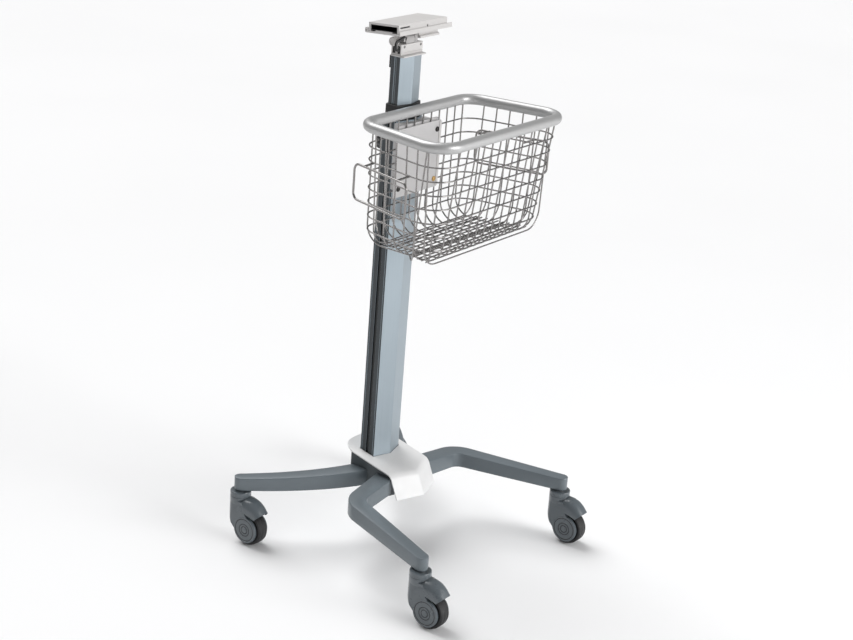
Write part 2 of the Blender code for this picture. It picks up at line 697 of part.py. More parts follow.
def build_cord_loops(stand, wire):
    """Wire loops that stand off the basket's sides, for winding a power cord on."""
    for side, sign in (("left", -1), ("right", 1)):
        back = Vector((sign * LOOP_BACK[0], LOOP_BACK[1], 0))
        front = Vector((sign * LOOP_FRONT[0], LOOP_FRONT[1], 0))
        length = (front - back).length
        along = (front - back).normalized()
        flat = rounded(rectangle(0, LOOP_BOTTOM, length, LOOP_TOP), LOOP_CORNER, 4)
        path = [tuple(back + along * u + Vector((0, 0, z))) for u, z in flat]
        ring = swept_ring("cord_loop", path, along.cross((0, 0, 1)), LOOP_WIRE, 8)
        loop = piece(f"cord_loop_{side}", ring, wire, stand)
        inward = Vector((0, 0, 1)).cross(along) * (-sign)
        for share in (LOOP_STUB_INSET, length - LOOP_STUB_INSET):
            start = back + along * share + Vector((0, 0, LOOP_TOP))
            wall_drop = (RIM_Z - LOOP_TOP) / BASKET_DEPTH
            across = (RIM_FRONT_HALF - RIM_BACK_HALF) / (RIM_BACK_Y - RIM_FRONT_Y)
            reach = stub_reach(start, inward, sign, wall_drop, across)
            stub = rod("stub", LOOP_STUB_RADIUS, "Z", 0, reach, steps=7)
            stub.transform(inward.to_track_quat("Z", "Y").to_matrix().to_4x4())
            carve(loop, stub, "UNION", place=tuple(start))


def stub_reach(start, inward, sign, wall_drop, across):
    """Length of a stand-off from the loop to just short of the basket's side wall."""
    slope = Vector((sign, across, 0)).normalized()
    wall_x = sign * (RIM_BACK_HALF + across * (BASKET_BACK_Y - start.y) - BASKET_SIDE_TAPER * wall_drop)
    wall = Vector((wall_x, start.y, start.z))
    distance = (start - wall).dot(slope) / -inward.dot(slope)
    return distance - 0.0030


# ---------------------------------------------------------------- head
def build_swivel(swivel, cast, grey):
    low = MAST_TOP + 2 * GAP + FLANGE_THICKNESS
    high = low + BLOCK_HEIGHT
    outer = rectangle(-BLOCK_HALF_DEPTH, low, BLOCK_HALF_DEPTH, high)
    block = piece("swivel_block", prism("block", outer, "X", -BLOCK_HALF_LENGTH, BLOCK_HALF_LENGTH),
                  cast, swivel)
    wall = BLOCK_WALL
    bore = rectangle(-BLOCK_HALF_DEPTH + wall, low + wall, BLOCK_HALF_DEPTH - wall, high - wall)
    carve(block, prism("block_bore", bore, "X", -BLOCK_HALF_LENGTH - 0.01, BLOCK_HALF_LENGTH + 0.01))
    base = high + GAP
    outline = [(-YOKE_RADIUS, base), (YOKE_RADIUS, base)] + arc((0, TILT_AXIS_Z), YOKE_RADIUS, 0, 180, 8)
    arch = prism("yoke", outline, "X", -YOKE_HALF_WIDTH, YOKE_HALF_WIDTH)
    yoke = piece("tilt_yoke", arch, grey, swivel)
    reach = YOKE_HALF_WIDTH + 0.02
    carve(yoke, rod("yoke_bore", PIN_RADIUS + GAP, "X", -reach, reach), place=(0, 0, TILT_AXIS_Z))


def build_seat(seat, cast, grey, steel):
    """Everything that tilts, drawn level about the tilt axis; its parent gives the lean."""
    inner = YOKE_HALF_WIDTH + GAP + 0.0001
    outer = inner + CRADLE_WALL
    roof = SEAT_UNDERSIDE - GAP
    inside = YOKE_RADIUS + 0.0010
    shape = [(-outer, -CRADLE_DROP), (-inner, -CRADLE_DROP), (-inner, inside), (inner, inside),
             (inner, -CRADLE_DROP), (outer, -CRADLE_DROP), (outer, roof), (-outer, roof)]
    cradle = piece("tilt_cradle", prism("cradle", shape, "Y", -CRADLE_HALF_DEPTH, CRADLE_HALF_DEPTH),
                   grey, seat)
    reach = outer + 0.01
    carve(cradle, rod("cradle_bore", PIN_RADIUS + GAP, "X", -reach, reach))
    left = -TILT_KNOB_FACE + GAP
    right = outer + 0.0010
    head = PIN_RADIUS + 0.0020
    pin = turned("pin", [(PIN_RADIUS, left), (PIN_RADIUS, right), (head, right), (head, right + 0.0025)],
                 "X", 12)
    piece("tilt_pin", pin, steel, seat)

    web = RAIL_WEB_HALF
    lip = RAIL_LIP_HALF
    thick = RAIL_LIP_DEPTH / 2
    rail = [(-lip, -thick), (lip, -thick), (lip, thick), (web, RAIL_NECK_Z), (web, roof), (-web, roof),
            (-web, RAIL_NECK_Z), (-lip, thick)]
    piece("under_rail", prism("rail", rail, "X", RAIL_LEFT, RAIL_RIGHT), cast, seat)

    floor = SEAT_UNDERSIDE + SEAT_FLOOR
    flange = SEAT_UNDERSIDE + SEAT_FLANGE_HEIGHT
    ridge = floor + SEAT_RIDGE_HEIGHT
    wide = SEAT_HALF_WIDTH
    near = wide - SEAT_FLANGE
    tray = [(-wide, SEAT_UNDERSIDE), (wide, SEAT_UNDERSIDE), (wide, flange), (near, flange), (near, floor),
            (SEAT_RIDGE_HALF, floor), (SEAT_RIDGE_HALF, ridge), (-SEAT_RIDGE_HALF, ridge),
            (-SEAT_RIDGE_HALF, floor), (-near, floor), (-near, flange), (-wide, flange)]
    base = piece("seat_base", prism("seat_base", tray, "X", SEAT_LEFT, SEAT_RIGHT), cast, seat)
    ear_top = SEAT_UNDERSIDE + EAR_HEIGHT
    ear = rounded(rectangle(wide - 0.001, SEAT_UNDERSIDE, wide + EAR_REACH, ear_top), EAR_CORNER, 2)
    carve(base, prism("seat_ear", ear, "X", SEAT_LEFT, SEAT_LEFT + EAR_THICKNESS), "UNION")
    middle = (0, wide + EAR_REACH / 2, SEAT_UNDERSIDE + EAR_HEIGHT / 2)
    hole = rod("ear_hole", EAR_HOLE_RADIUS, "X", SEAT_LEFT - 0.01, SEAT_LEFT + 0.02, steps=10)
    carve(base, hole, place=middle)
    add_lever_lug(base)

    low = floor + GAP
    high = low + CHANNEL_HEIGHT
    shell = rectangle(-CHANNEL_HALF_WIDTH, low, CHANNEL_HALF_WIDTH, high)
    channel = piece("slide_channel", prism("channel", shell, "X", SEAT_LEFT, CHANNEL_RIGHT), cast, seat)
    room = CHANNEL_HALF_WIDTH - CHANNEL_SIDE_WALL
    pocket = rectangle(-room, low - 0.01, room, high - CHANNEL_ROOF)
    carve(channel, prism("slot", pocket, "X", SEAT_LEFT - 0.01, CHANNEL_RIGHT - CHANNEL_END_WALL))
    relief = SEAT_RIDGE_HALF + GAP
    groove = rectangle(-relief, low - 0.01, relief, ridge + GAP)
    carve(channel, prism("ridge_groove", groove, "X", CHANNEL_RIGHT - 0.02, CHANNEL_RIGHT + 0.01))


def add_lever_lug(base):
    """Lug under the seat with the stud that the release lever turns on."""
    x, z = LEVER_PIVOT
    face = LEVER_FACE_Y + LEVER_THICKNESS + GAP
    half = LEVER_LUG_HALF
    lug = rectangle(x - half, face, x + half, face + LEVER_LUG_DEPTH)
    carve(base, prism("lever_lug", lug, "Z", z - half, SEAT_UNDERSIDE + 0.0010), "UNION")
    shaft = rod("lever_stud", LEVER_STUD_RADIUS, "Y", LEVER_FACE_Y, face + 0.001, steps=10)
    carve(base, shaft, "UNION", place=(x, 0, z))


def build_tilt_knob(knob, grey):
    near = -TILT_KNOB_FACE
    far = near - TILT_KNOB_LENGTH
    radius = TILT_KNOB_RADIUS
    edge = radius - 0.001
    profile = [(edge, far), (radius, far + 0.001), (radius, near - 0.001), (edge, near)]
    piece("tilt_knob", turned("tilt_knob", profile, "X", 16), grey, knob)


def build_lever(lever, black):
    """Thumb lever that lets the monitor's slide go, drawn about its own pivot."""
    outline = [(0.0035, 0.0030), (-0.0060, 0.0025), (-0.0210, -0.0050), (-0.0290, -0.0130),
               (-0.0320, -0.0230), (-0.0320, -0.0280), (-0.0265, -0.0280), (-0.0260, -0.0230),
               (-0.0240, -0.0160), (-0.0180, -0.0095), (-0.0060, -0.0035), (0.0035, -0.0030)]
    mesh = prism("lever", outline, "Y", LEVER_FACE_Y, LEVER_FACE_Y + LEVER_THICKNESS)
    thing = piece("release_lever", mesh, black, lever)
    carve(thing, rod("lever_bore", LEVER_STUD_RADIUS + GAP, "Y", -0.03, 0.0, steps=10))


# ---------------------------------------------------------------- casters
def fork_mesh(material):
    half = TYRE_HALF_WIDTH + FORK_SIDE_CLEARANCE + FORK_PLATE
    gap_half = TYRE_HALF_WIDTH + FORK_SIDE_CLEARANCE
    low = COLLAR_TOP - COLLAR_HEIGHT
    groove = COLLAR_TOP - 0.0130
    radius = COLLAR_RADIUS
    profile = [(radius, low), (radius, groove - 0.0008), (radius - 0.0010, groove),
               (radius, groove + 0.0008), (radius, COLLAR_TOP - 0.0015), (radius - 0.0015, COLLAR_TOP)]
    draft = piece("fork_draft", turned("collar", profile, "Z", 24), material, None)
    neck = [(0.0205, 0.0940), (0.0185, 0.0580), (-0.0050, 0.0300), (-TRAIL, 0.0380), (-0.0355, 0.0660),
            (-0.0345, 0.0900), (-0.0220, 0.0950)]
    hub = (-TRAIL, WHEEL_RADIUS)
    tools = [carve(draft, prism("neck", neck, "X", -half, half), "UNION")]
    disc = arc(hub, FORK_DISC_RADIUS, 0, 345, 23)
    proud = half + FORK_DISC_PROUD
    tools.append(carve(draft, prism("disc", disc, "X", -proud, proud), "UNION"))
    well = arc(hub, WHEEL_RADIUS + WHEEL_WELL_CLEARANCE, 0, 345, 23)
    tools.append(carve(draft, prism("well", well, "X", -gap_half, gap_half)))
    pocket = rectangle(-0.0500, 0.0500, -0.0208, 0.1100)
    keep_out = prism("pedal_pocket", pocket, "X", -gap_half - GAP, gap_half + GAP)
    tools.append(carve(draft, keep_out))
    bore = rod("fork_bore", STEM_RADIUS + GAP, "Z", low + 0.0010, COLLAR_TOP + 0.01)
    tools.append(carve(draft, bore))
    reach = 2 * half
    axle_bore = rod("axle_bore", AXLE_RADIUS + GAP, "X", -reach, reach)
    tools.append(carve(draft, axle_bore, place=(0, *hub)))
    trunnion_bore = rod("trunnion_bore", TRUNNION_RADIUS + GAP, "X", -reach, reach, steps=10)
    tools.append(carve(draft, trunnion_bore, place=(0, *PEDAL_PIVOT)))
    return hardened(draft, tools)


def pedal_mesh(material):
    """Brake pedal that hoods the wheel, drawn about its trunnion."""
    wall = PEDAL_WALL
    crown = [(-0.0240, 0.1058), (-0.0346, 0.1033), (-0.0470, 0.0991), (-0.0580, 0.0915),
             (-PEDAL_REACH, PEDAL_TIP_Z)]
    side = crown + [(-0.0570, 0.0655), (-0.0423, 0.0705), (-0.0380, 0.0715), (-0.0380, 0.0985),
                    (-0.0240, 0.1020)]
    centre = Vector(PEDAL_PIVOT)
    about = [tuple(Vector(point) - centre) for point in side]
    draft = piece("pedal_draft", prism("pedal", about, "X", -PEDAL_HALF_WIDTH, PEDAL_HALF_WIDTH),
                  material, None)
    under = [(y + wall * 0.45, z - wall * 0.95) for y, z in crown[1:]]
    under[0] = (-0.0376, under[0][1] - 0.0012)
    hollow = under + [(-0.0760, 0.0600), (-0.0600, 0.0500), (-0.0376, 0.0500)]
    about = [tuple(Vector(point) - centre) for point in hollow]
    room = PEDAL_HALF_WIDTH - wall
    tools = [carve(draft, prism("pedal_hollow", about, "X", -room, room))]
    lug_half = TYRE_HALF_WIDTH + FORK_SIDE_CLEARANCE - GAP
    lug = arc((0, 0), 0.0040, 180, 360, 8) + [(0.0036, 0.0190), (-0.0100, 0.0172)]
    tools.append(carve(draft, prism("pedal_lug", lug, "X", -lug_half, lug_half), "UNION"))
    end = lug_half + FORK_PLATE
    tools.append(carve(draft, rod("trunnion", TRUNNION_RADIUS, "X", -end, end, steps=10), "UNION"))
    return hardened(draft, tools)


def caster_meshes(looks):
    half = TYRE_HALF_WIDTH
    radius = WHEEL_RADIUS
    inner = radius - TYRE_DEPTH
    shoulder = [(inner, -half + 0.0015), (radius - 0.0035, -half), (radius - 0.0008, -half + 0.003),
                (radius, -half + 0.008)]
    tread = shoulder + [(out, -along) for out, along in reversed(shoulder)]
    tyre = turned("tyre", tread, "X", 28, hollow=True)
    rim = inner - GAP
    bore = AXLE_RADIUS + GAP
    face = half - 0.0020
    web = half - 0.0055
    boss = WHEEL_BOSS_RADIUS
    foot = boss + 0.002
    lip = rim - 0.004
    profile = [(bore, -face), (boss, -face), (foot, -web), (lip, -web), (rim, -face),
               (rim, face), (lip, web), (foot, web), (boss, face), (bore, face)]
    centre = turned("wheel", profile, "X", 20, hollow=True)
    reach = half + FORK_SIDE_CLEARANCE + FORK_PLATE - GAP
    axle = rod("axle", AXLE_RADIUS, "X", -reach, reach)
    low = COLLAR_TOP - COLLAR_HEIGHT + 0.0015
    nut_low = COLLAR_TOP + GAP
    nut_high = COLLAR_TOP + STEM_NUT_SPACE - GAP
    top = COLLAR_TOP + STEM_NUT_SPACE + STEM_REACH
    stem = turned("stem", [(STEM_RADIUS, low), (STEM_RADIUS, nut_low), (STEM_NUT_RADIUS, nut_low),
                           (STEM_NUT_RADIUS, nut_high), (STEM_RADIUS, nut_high), (STEM_RADIUS, top)],
                  "Z", 12)
    return {"tyre": tyre, "wheel": centre, "axle": axle, "stem": stem, "fork": fork_mesh(looks["fork"]),
            "pedal": pedal_mesh(looks["pedal"])}


def build_casters(stand, looks):
    meshes = caster_meshes(looks)
    corners = [("front_left", -FRONT_CASTER_X, FRONT_CASTER_Y),
               ("front_right", FRONT_CASTER_X, FRONT_CASTER_Y),
               ("rear_left", -REAR_CASTER_X, REAR_CASTER_Y),
               ("rear_right", REAR_CASTER_X, REAR_CASTER_Y)]
    for corner, x, y in corners:
        swivel = pivot(f"swivel_{corner}", stand, (x, y, 0))
        hub = pivot(f"wheel_{corner}", swivel, (0, -TRAIL, WHEEL_RADIUS))
        hinge = pivot(f"pedal_{corner}", swivel, (0, *PEDAL_PIVOT))
        piece(f"caster_stem_{corner}", meshes["stem"], looks["steel"], swivel)
        piece(f"caster_fork_{corner}", meshes["fork"], looks["fork"], swivel)
        piece(f"caster_axle_{corner}", meshes["axle"], looks["steel"], swivel, (0, -TRAIL, WHEEL_RADIUS))
        piece(f"caster_wheel_{corner}", meshes["wheel"], looks["wheel"], hub)
        piece(f"caster_tyre_{corner}", meshes["tyre"], looks["tyre"], hub)
        piece(f"caster_pedal_{corner}", meshes["pedal"], looks["pedal"], hinge)


# ---------------------------------------------------------------- stand
def main():
    for thing in list(bpy.data.objects):
        bpy.data.objects.remove(thing)
    looks = {
        "leg": paint("leg_paint", (0.16, 0.19, 0.21), 0.45, 0.3),
        "cover": paint("cover_plastic", (0.86, 0.86, 0.85), 0.4, 0.0),
        "column": paint("column_anodised", (0.42, 0.47, 0.51), 0.35, 0.7),
        "black": paint("black_plastic", (0.03, 0.03, 0.03), 0.5, 0.0),
        "steel": paint("bright_steel", (0.75, 0.75, 0.76), 0.25, 1.0),
        "head": paint("head_paint", (0.74, 0.72, 0.70), 0.4, 0.1),
        "grey": paint("grey_casting", (0.45, 0.45, 0.45), 0.45, 0.3),
        "wire": paint("chrome_wire", (0.62, 0.62, 0.62), 0.2, 1.0),
        "sheet": paint("plate_paint", (0.62, 0.60, 0.60), 0.5, 0.1),
        "satin": paint("rim_silver", (0.52, 0.52, 0.53), 0.4, 0.4),
        "fork": paint("fork_plastic", (0.10, 0.12, 0.13), 0.45, 0.0),
        "wheel": paint("wheel_plastic", (0.22, 0.24, 0.26), 0.45, 0.0),
        "tyre": paint("tyre_rubber", (0.02, 0.02, 0.02), 0.7, 0.0),
        "pedal": paint("pedal_plastic", (0.12, 0.14, 0.15), 0.45, 0.0),
    }
    stand = pivot("stand", None, (0, STAND_Y, 0))
    build_hub(stand, looks["leg"])
    build_legs(stand, looks["leg"])
    build_cover(stand, looks["cover"])
    build_column(stand, looks["column"], looks["black"])
    build_gas_cylinder(stand, looks["black"])
    build_basket(stand, looks["wire"], looks["sheet"], looks["satin"], looks["steel"])
    build_cord_loops(stand, looks["wire"])

    mast = pivot("mast", stand, (0, 0, 0))
    build_mast(mast, looks["column"], looks["black"], looks["steel"], looks["head"])
    lock = pivot("lock", stand, (0, 0, LOCK_KNOB_Z))
    build_lock_knob(lock, looks["black"])
    swivel = pivot("head_swivel", mast, (0, 0, 0))
    build_swivel(swivel, looks["head"], looks["grey"])
    seat = pivot("head_tilt", swivel, (0, 0, TILT_AXIS_Z), lean=-TILT_AT_REST)
    build_seat(seat, looks["head"], looks["grey"], looks["steel"])
    build_tilt_knob(pivot("tilt_lock", seat, (0, 0, 0)), looks["grey"])
    build_lever(pivot("release", seat, (LEVER_PIVOT[0], 0, LEVER_PIVOT[1])), looks["black"])
    build_casters(stand, looks)


main()
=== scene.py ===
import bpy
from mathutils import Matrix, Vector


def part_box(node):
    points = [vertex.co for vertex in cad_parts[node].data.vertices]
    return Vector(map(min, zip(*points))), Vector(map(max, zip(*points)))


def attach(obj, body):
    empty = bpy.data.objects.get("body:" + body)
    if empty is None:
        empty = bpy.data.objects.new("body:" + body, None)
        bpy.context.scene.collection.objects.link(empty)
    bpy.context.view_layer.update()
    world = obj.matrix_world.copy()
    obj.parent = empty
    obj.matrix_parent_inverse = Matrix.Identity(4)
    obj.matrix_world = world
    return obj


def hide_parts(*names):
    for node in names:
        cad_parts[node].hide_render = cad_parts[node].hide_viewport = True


bl_info = {
    "name": "Monitor roll stand finish",
    "version": (1, 0, 0),
    "blender": (4, 5, 0),
    "location": "3D View > Sidebar > Roll stand",
    "description": "Finished pieces, paints and studio for a monitor's roll stand",
    "category": "Object",
}

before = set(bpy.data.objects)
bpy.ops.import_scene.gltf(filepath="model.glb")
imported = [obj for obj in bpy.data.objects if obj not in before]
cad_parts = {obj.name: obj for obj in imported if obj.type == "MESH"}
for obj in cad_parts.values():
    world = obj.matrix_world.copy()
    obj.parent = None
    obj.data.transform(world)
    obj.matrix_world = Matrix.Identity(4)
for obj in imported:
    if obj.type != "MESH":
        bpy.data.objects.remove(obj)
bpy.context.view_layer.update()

import math

import bmesh
import bpy
from bpy.props import (FloatProperty, FloatVectorProperty, IntProperty,
                       PointerProperty)
from mathutils import Matrix, Vector

MM = 0.001
CORNERS = ("front_left", "front_right", "rear_left", "rear_right")


def middle(node):
    low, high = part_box(node)
    return (low + high) / 2


COLUMN = Vector((0.0, middle("mast_tube").y, 0.0))
COLUMN_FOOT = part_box("outer_column")[0].z / MM
COLUMN_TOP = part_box("outer_column")[1].z / MM
MAST_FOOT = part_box("mast_tube")[0].z / MM
MAST_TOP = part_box("mast_tube")[1].z / MM
TILT_AXIS = Vector((0.0, COLUMN.y, middle("tilt_knob").z))
SEAT_LEAN = math.radians(4.3)
SWIVELS = {corner: Vector((*middle("caster_stem_" + corner).xy, 0.0)) for corner in CORNERS}


# ------------------------------------------------------------------ sizes a user would change
class PaintSettings(bpy.types.PropertyGroup):
    """Colours of the stand's finishes."""
    leg: FloatVectorProperty(name="Leg enamel", description="Blue-grey enamel of the legs and hub",
                             subtype="COLOR", size=3, default=(0.140, 0.166, 0.184), min=0, max=1)
    column: FloatVectorProperty(name="Column", description="Anodised blue-grey of the column and mast",
                                subtype="COLOR", size=3, default=(0.33, 0.385, 0.425), min=0, max=1)
    cover: FloatVectorProperty(name="Cover", description="White of the moulded cover over the hub",
                               subtype="COLOR", size=3, default=(0.76, 0.76, 0.76), min=0, max=1)
    head: FloatVectorProperty(name="Head enamel", description="Warm light grey of the head",
                              subtype="COLOR", size=3, default=(0.60, 0.585, 0.575), min=0, max=1)
    rim: FloatVectorProperty(name="Rim", description="Silver-grey of the basket's round rim",
                             subtype="COLOR", size=3, default=(0.50, 0.50, 0.50), min=0, max=1)
    wheel: FloatVectorProperty(name="Caster plastic", description="Dark grey of forks, discs and pedals",
                               subtype="COLOR", size=3, default=(0.105, 0.124, 0.138), min=0, max=1)


class WireSettings(bpy.types.PropertyGroup):
    """Basket wires."""
    radius: FloatProperty(name="Wire radius", description="Radius of a basket wire", subtype="DISTANCE",
                          unit="LENGTH", default=0.0016, min=0.0008, max=0.004)
    sides: IntProperty(name="Wire sides", description="Flats round a basket wire", default=8, min=6, max=24)
    pitch: FloatProperty(name="Pitch", description="Distance between upright wires", subtype="DISTANCE",
                         unit="LENGTH", default=0.0265, min=0.01, max=0.06)
    ring_pitch: FloatProperty(name="Ring pitch", description="Distance between level wires",
                              subtype="DISTANCE", unit="LENGTH", default=0.029, min=0.01, max=0.06)


class StudioSettings(bpy.types.PropertyGroup):
    """Light and camera."""
    back: FloatProperty(name="Back light", description="Strength of the soft light above and behind",
                        default=2.2, min=0)
    front: FloatProperty(name="Front light", description="Strength of the low soft light before the stand",
                         default=1.9, min=0)
    strip: FloatProperty(name="Strip light", subtype="POWER", unit="POWER", default=3.5, min=0,
                         description="Power of the upright light that the column mirrors")
    sky: FloatProperty(name="Surround", description="Light from the even surround", default=0.28, min=0)
    lens: FloatProperty(name="Lens", description="Focal length for a 36 mm sensor, in millimetres",
                        default=74.951, min=10, max=300)


class RollStandSettings(bpy.types.PropertyGroup):
    """All settings of the roll stand."""
    paint: PointerProperty(type=PaintSettings)
    wire: PointerProperty(type=WireSettings)
    studio: PointerProperty(type=StudioSettings)


def settings():
    return bpy.context.scene.roll_stand


# ------------------------------------------------------------------ material nodes
def new_material(name):
    material = bpy.data.materials.new(name)
    material.use_nodes = True
    nodes = material.node_tree.nodes
    shader = nodes["Principled BSDF"]
    return material, nodes, material.node_tree.links, shader


def coordinates(nodes, links, scale=(1, 1, 1)):
    """Object coordinates, stretched by a Mapping node."""
    source = nodes.new("ShaderNodeTexCoord")
    mapping = nodes.new("ShaderNodeMapping")
    mapping.inputs["Scale"].default_value = scale
    links.new(source.outputs["Object"], mapping.inputs["Vector"])
    return mapping.outputs["Vector"]


def noise(nodes, links, vector, scale, detail=3.0, rough=0.5):
    texture = nodes.new("ShaderNodeTexNoise")
    texture.inputs["Scale"].default_value = scale
    texture.inputs["Detail"].default_value = detail
    texture.inputs["Roughness"].default_value = rough
    links.new(vector, texture.inputs["Vector"])
    return texture.outputs["Fac"]


def ramp(nodes, links, factor, low, high, start=0.3, end=0.7):
    """Colour ramp between two colours, given as three or one value each."""
    node = nodes.new("ShaderNodeValToRGB")
    for element, value, place in zip(node.color_ramp.elements, (low, high), (start, end)):
        element.position = place
        element.color = (value, value, value, 1.0) if isinstance(value, float) else (*value, 1.0)
    links.new(factor, node.inputs["Fac"])
    return node.outputs["Color"]


def shade(color, amount):
    return tuple(min(1.0, max(0.0, channel * amount)) for channel in color)


def bump(nodes, links, shader, heights, distance):
    """Chain of bumps; every height is (texture output, strength)."""
    normal = None
    for height, strength in heights:
        node = nodes.new("ShaderNodeBump")
        node.inputs["Strength"].default_value = strength
        node.inputs["Distance"].default_value = distance
        links.new(height, node.inputs["Height"])
        if normal is not None:
            links.new(normal, node.inputs["Normal"])
        normal = node.outputs["Normal"]
    links.new(normal, shader.inputs["Normal"])


def enamel(name, color, roughness=0.38, metallic=0.0, coat=0.15, peel=0.25, mottle=0.05):
    """Sprayed paint: fine orange peel, faint mottling and uneven gloss."""
    material, nodes, links, shader = new_material(name)
    place = coordinates(nodes, links)
    broad = noise(nodes, links, place, 9.0, 4.0)
    links.new(ramp(nodes, links, broad, shade(color, 1 - mottle), shade(color, 1 + mottle)),
              shader.inputs["Base Color"])
    patchy = noise(nodes, links, place, 55.0, 5.0, 0.6)
    links.new(ramp(nodes, links, patchy, roughness - 0.05, roughness + 0.07), shader.inputs["Roughness"])
    fine = noise(nodes, links, place, 1400.0, 2.0)
    wavy = noise(nodes, links, place, 320.0, 2.0)
    bump(nodes, links, shader, [(fine, peel * 0.6), (wavy, peel)], 0.00008)
    shader.inputs["Metallic"].default_value = metallic
    shader.inputs["Coat Weight"].default_value = coat
    shader.inputs["Coat Roughness"].default_value = 0.2
    return material


def extruded(name, color, roughness=0.36, metallic=0.55):
    """Anodised extrusion: fine die lines along its length and a soft satin sheen."""
    material, nodes, links, shader = new_material(name)
    lines = coordinates(nodes, links, (900.0, 900.0, 2.5))
    place = coordinates(nodes, links)
    drawn = noise(nodes, links, lines, 1.0, 4.0, 0.65)
    broad = noise(nodes, links, place, 6.0, 3.0)
    mix = nodes.new("ShaderNodeMix")
    mix.data_type = "RGBA"
    mix.blend_type = "MULTIPLY"
    mix.inputs["Factor"].default_value = 1.0
    links.new(ramp(nodes, links, drawn, shade(color, 0.95), shade(color, 1.05)), mix.inputs["A"])
    links.new(ramp(nodes, links, broad, 0.95, 1.0), mix.inputs["B"])
    links.new(mix.outputs["Result"], shader.inputs["Base Color"])
    links.new(ramp(nodes, links, drawn, roughness - 0.05, roughness + 0.06), shader.inputs["Roughness"])
    grain = noise(nodes, links, place, 1800.0, 2.0)
    bump(nodes, links, shader, [(drawn, 0.12), (grain, 0.10)], 0.00005)
    shader.inputs["Metallic"].default_value = metallic
    return material


def moulded(name, color, roughness=0.45, grain=0.35, coat=0.0):
    """Moulded plastic: spark-eroded grain, faint flow marks and slightly rubbed gloss."""
    material, nodes, links, shader = new_material(name)
    place = coordinates(nodes, links)
    flow = noise(nodes, links, place, 14.0, 3.0)
    links.new(ramp(nodes, links, flow, shade(color, 0.95), shade(color, 1.05)), shader.inputs["Base Color"])
    rubbed = noise(nodes, links, place, 38.0, 6.0, 0.65)
    links.new(ramp(nodes, links, rubbed, roughness - 0.06, roughness + 0.08), shader.inputs["Roughness"])
    pits = noise(nodes, links, place, 1600.0, 2.0)
    coarse = noise(nodes, links, place, 700.0, 2.0)
    bump(nodes, links, shader, [(pits, grain), (coarse, grain * 0.5)], 0.00006)
    shader.inputs["Coat Weight"].default_value = coat
    return material


def bright_metal(name, color, roughness=0.16, streaks=(700.0, 700.0, 700.0), strength=0.08):
    """Plated or polished metal with faint drawing marks and small dull spots."""
    material, nodes, links, shader = new_material(name)
    place = coordinates(nodes, links)
    lines = coordinates(nodes, links, streaks)
    clouds = noise(nodes, links, place, 60.0, 4.0)
    tone = ramp(nodes, links, clouds, shade(color, 0.92), shade(color, 1.06))
    links.new(tone, shader.inputs["Base Color"])
    marks = noise(nodes, links, lines, 1.0, 4.0, 0.6)
    links.new(ramp(nodes, links, marks, roughness * 0.7, roughness * 1.5), shader.inputs["Roughness"])
    bump(nodes, links, shader, [(marks, strength)], 0.00004)
    shader.inputs["Metallic"].default_value = 1.0
    return material


def rubber(name, color):
    """Tyre rubber: matt, finely pitted, a little greyer where floor dust sticks."""
    material, nodes, links, shader = new_material(name)
    place = coordinates(nodes, links)
    dust = noise(nodes, links, place, 90.0, 6.0, 0.7)
    links.new(ramp(nodes, links, dust, color, shade(color, 2.4), 0.45, 0.8), shader.inputs["Base Color"])
    links.new(ramp(nodes, links, dust, 0.48, 0.70), shader.inputs["Roughness"])
    pits = noise(nodes, links, place, 1300.0, 3.0)
    bump(nodes, links, shader, [(pits, 0.4)], 0.00008)
    return material


def finishes():
    """Every finish by name, made once."""
    kept = [material for material in bpy.data.materials if "stand_finish" in material]
    made = {material["stand_finish"]: material for material in kept}
    if made:
        return made
    paint = settings().paint
    recipes = [
        enamel("leg_enamel", tuple(paint.leg), 0.36, 0.1, 0.12, 0.3),
        # The hub's enamel is the leg enamel darkened to 55 %: painted shade under the cover.
        enamel("hub_enamel", shade(paint.leg, 0.55), 0.45, 0.05, 0.05, 0.3),
        extruded("column_anodised", tuple(paint.column)),
        # Column colour darkened to 16 % for the faces that look along X: painted shade on the sides of
        # column and mast.
        extruded("column_dark", shade(paint.column, 0.16), 0.42, 0.2),
        # Near-black for the strips set inside the column's grooves: painted shade in the grooves.
        extruded("groove_dark", (0.012, 0.013, 0.015), 0.45, 0.0),
        moulded("cover_white", tuple(paint.cover), 0.36, 0.18, 0.05),
        enamel("head_enamel", tuple(paint.head), 0.36, 0.0, 0.2, 0.22, 0.03),
        # Head enamel lightened by 30 % for upward faces: painted light on the tops.
        enamel("head_top", shade(paint.head, 1.3), 0.36, 0.0, 0.2, 0.22, 0.03),
        enamel("head_casting", (0.42, 0.41, 0.405), 0.42, 0.2, 0.0, 0.4),
        enamel("plate_enamel", (0.56, 0.55, 0.55), 0.5, 0.0, 0.0, 0.25, 0.03),
        extruded("rim_silver", tuple(paint.rim), 0.42, 0.6),
        bright_metal("wire_nickel", (0.30, 0.29, 0.285), 0.22),
        bright_metal("steel_bright", (0.66, 0.67, 0.69), 0.20),
        bright_metal("screw_brass", (0.62, 0.41, 0.17), 0.28),
        bright_metal("screw_dark", (0.06, 0.058, 0.056), 0.4),
        moulded("black_plastic", (0.012, 0.012, 0.013), 0.42, 0.3),
        moulded("caster_plastic", tuple(paint.wheel), 0.30, 0.2, 0.3),
        moulded("wheel_plastic", shade(paint.wheel, 1.5), 0.4, 0.2),
        rubber("tyre_rubber", (0.011, 0.011, 0.012)),
    ]
    for material in recipes:
        material["stand_finish"] = material.name.split(".")[0]
    return {material["stand_finish"]: material for material in recipes}


# ------------------------------------------------------------------ shapes, in millimetres
AXES = {"X": lambda u, v, h: (h, u, v), "Y": lambda u, v, h: (u, h, v), "Z": lambda u, v, h: (u, v, h)}


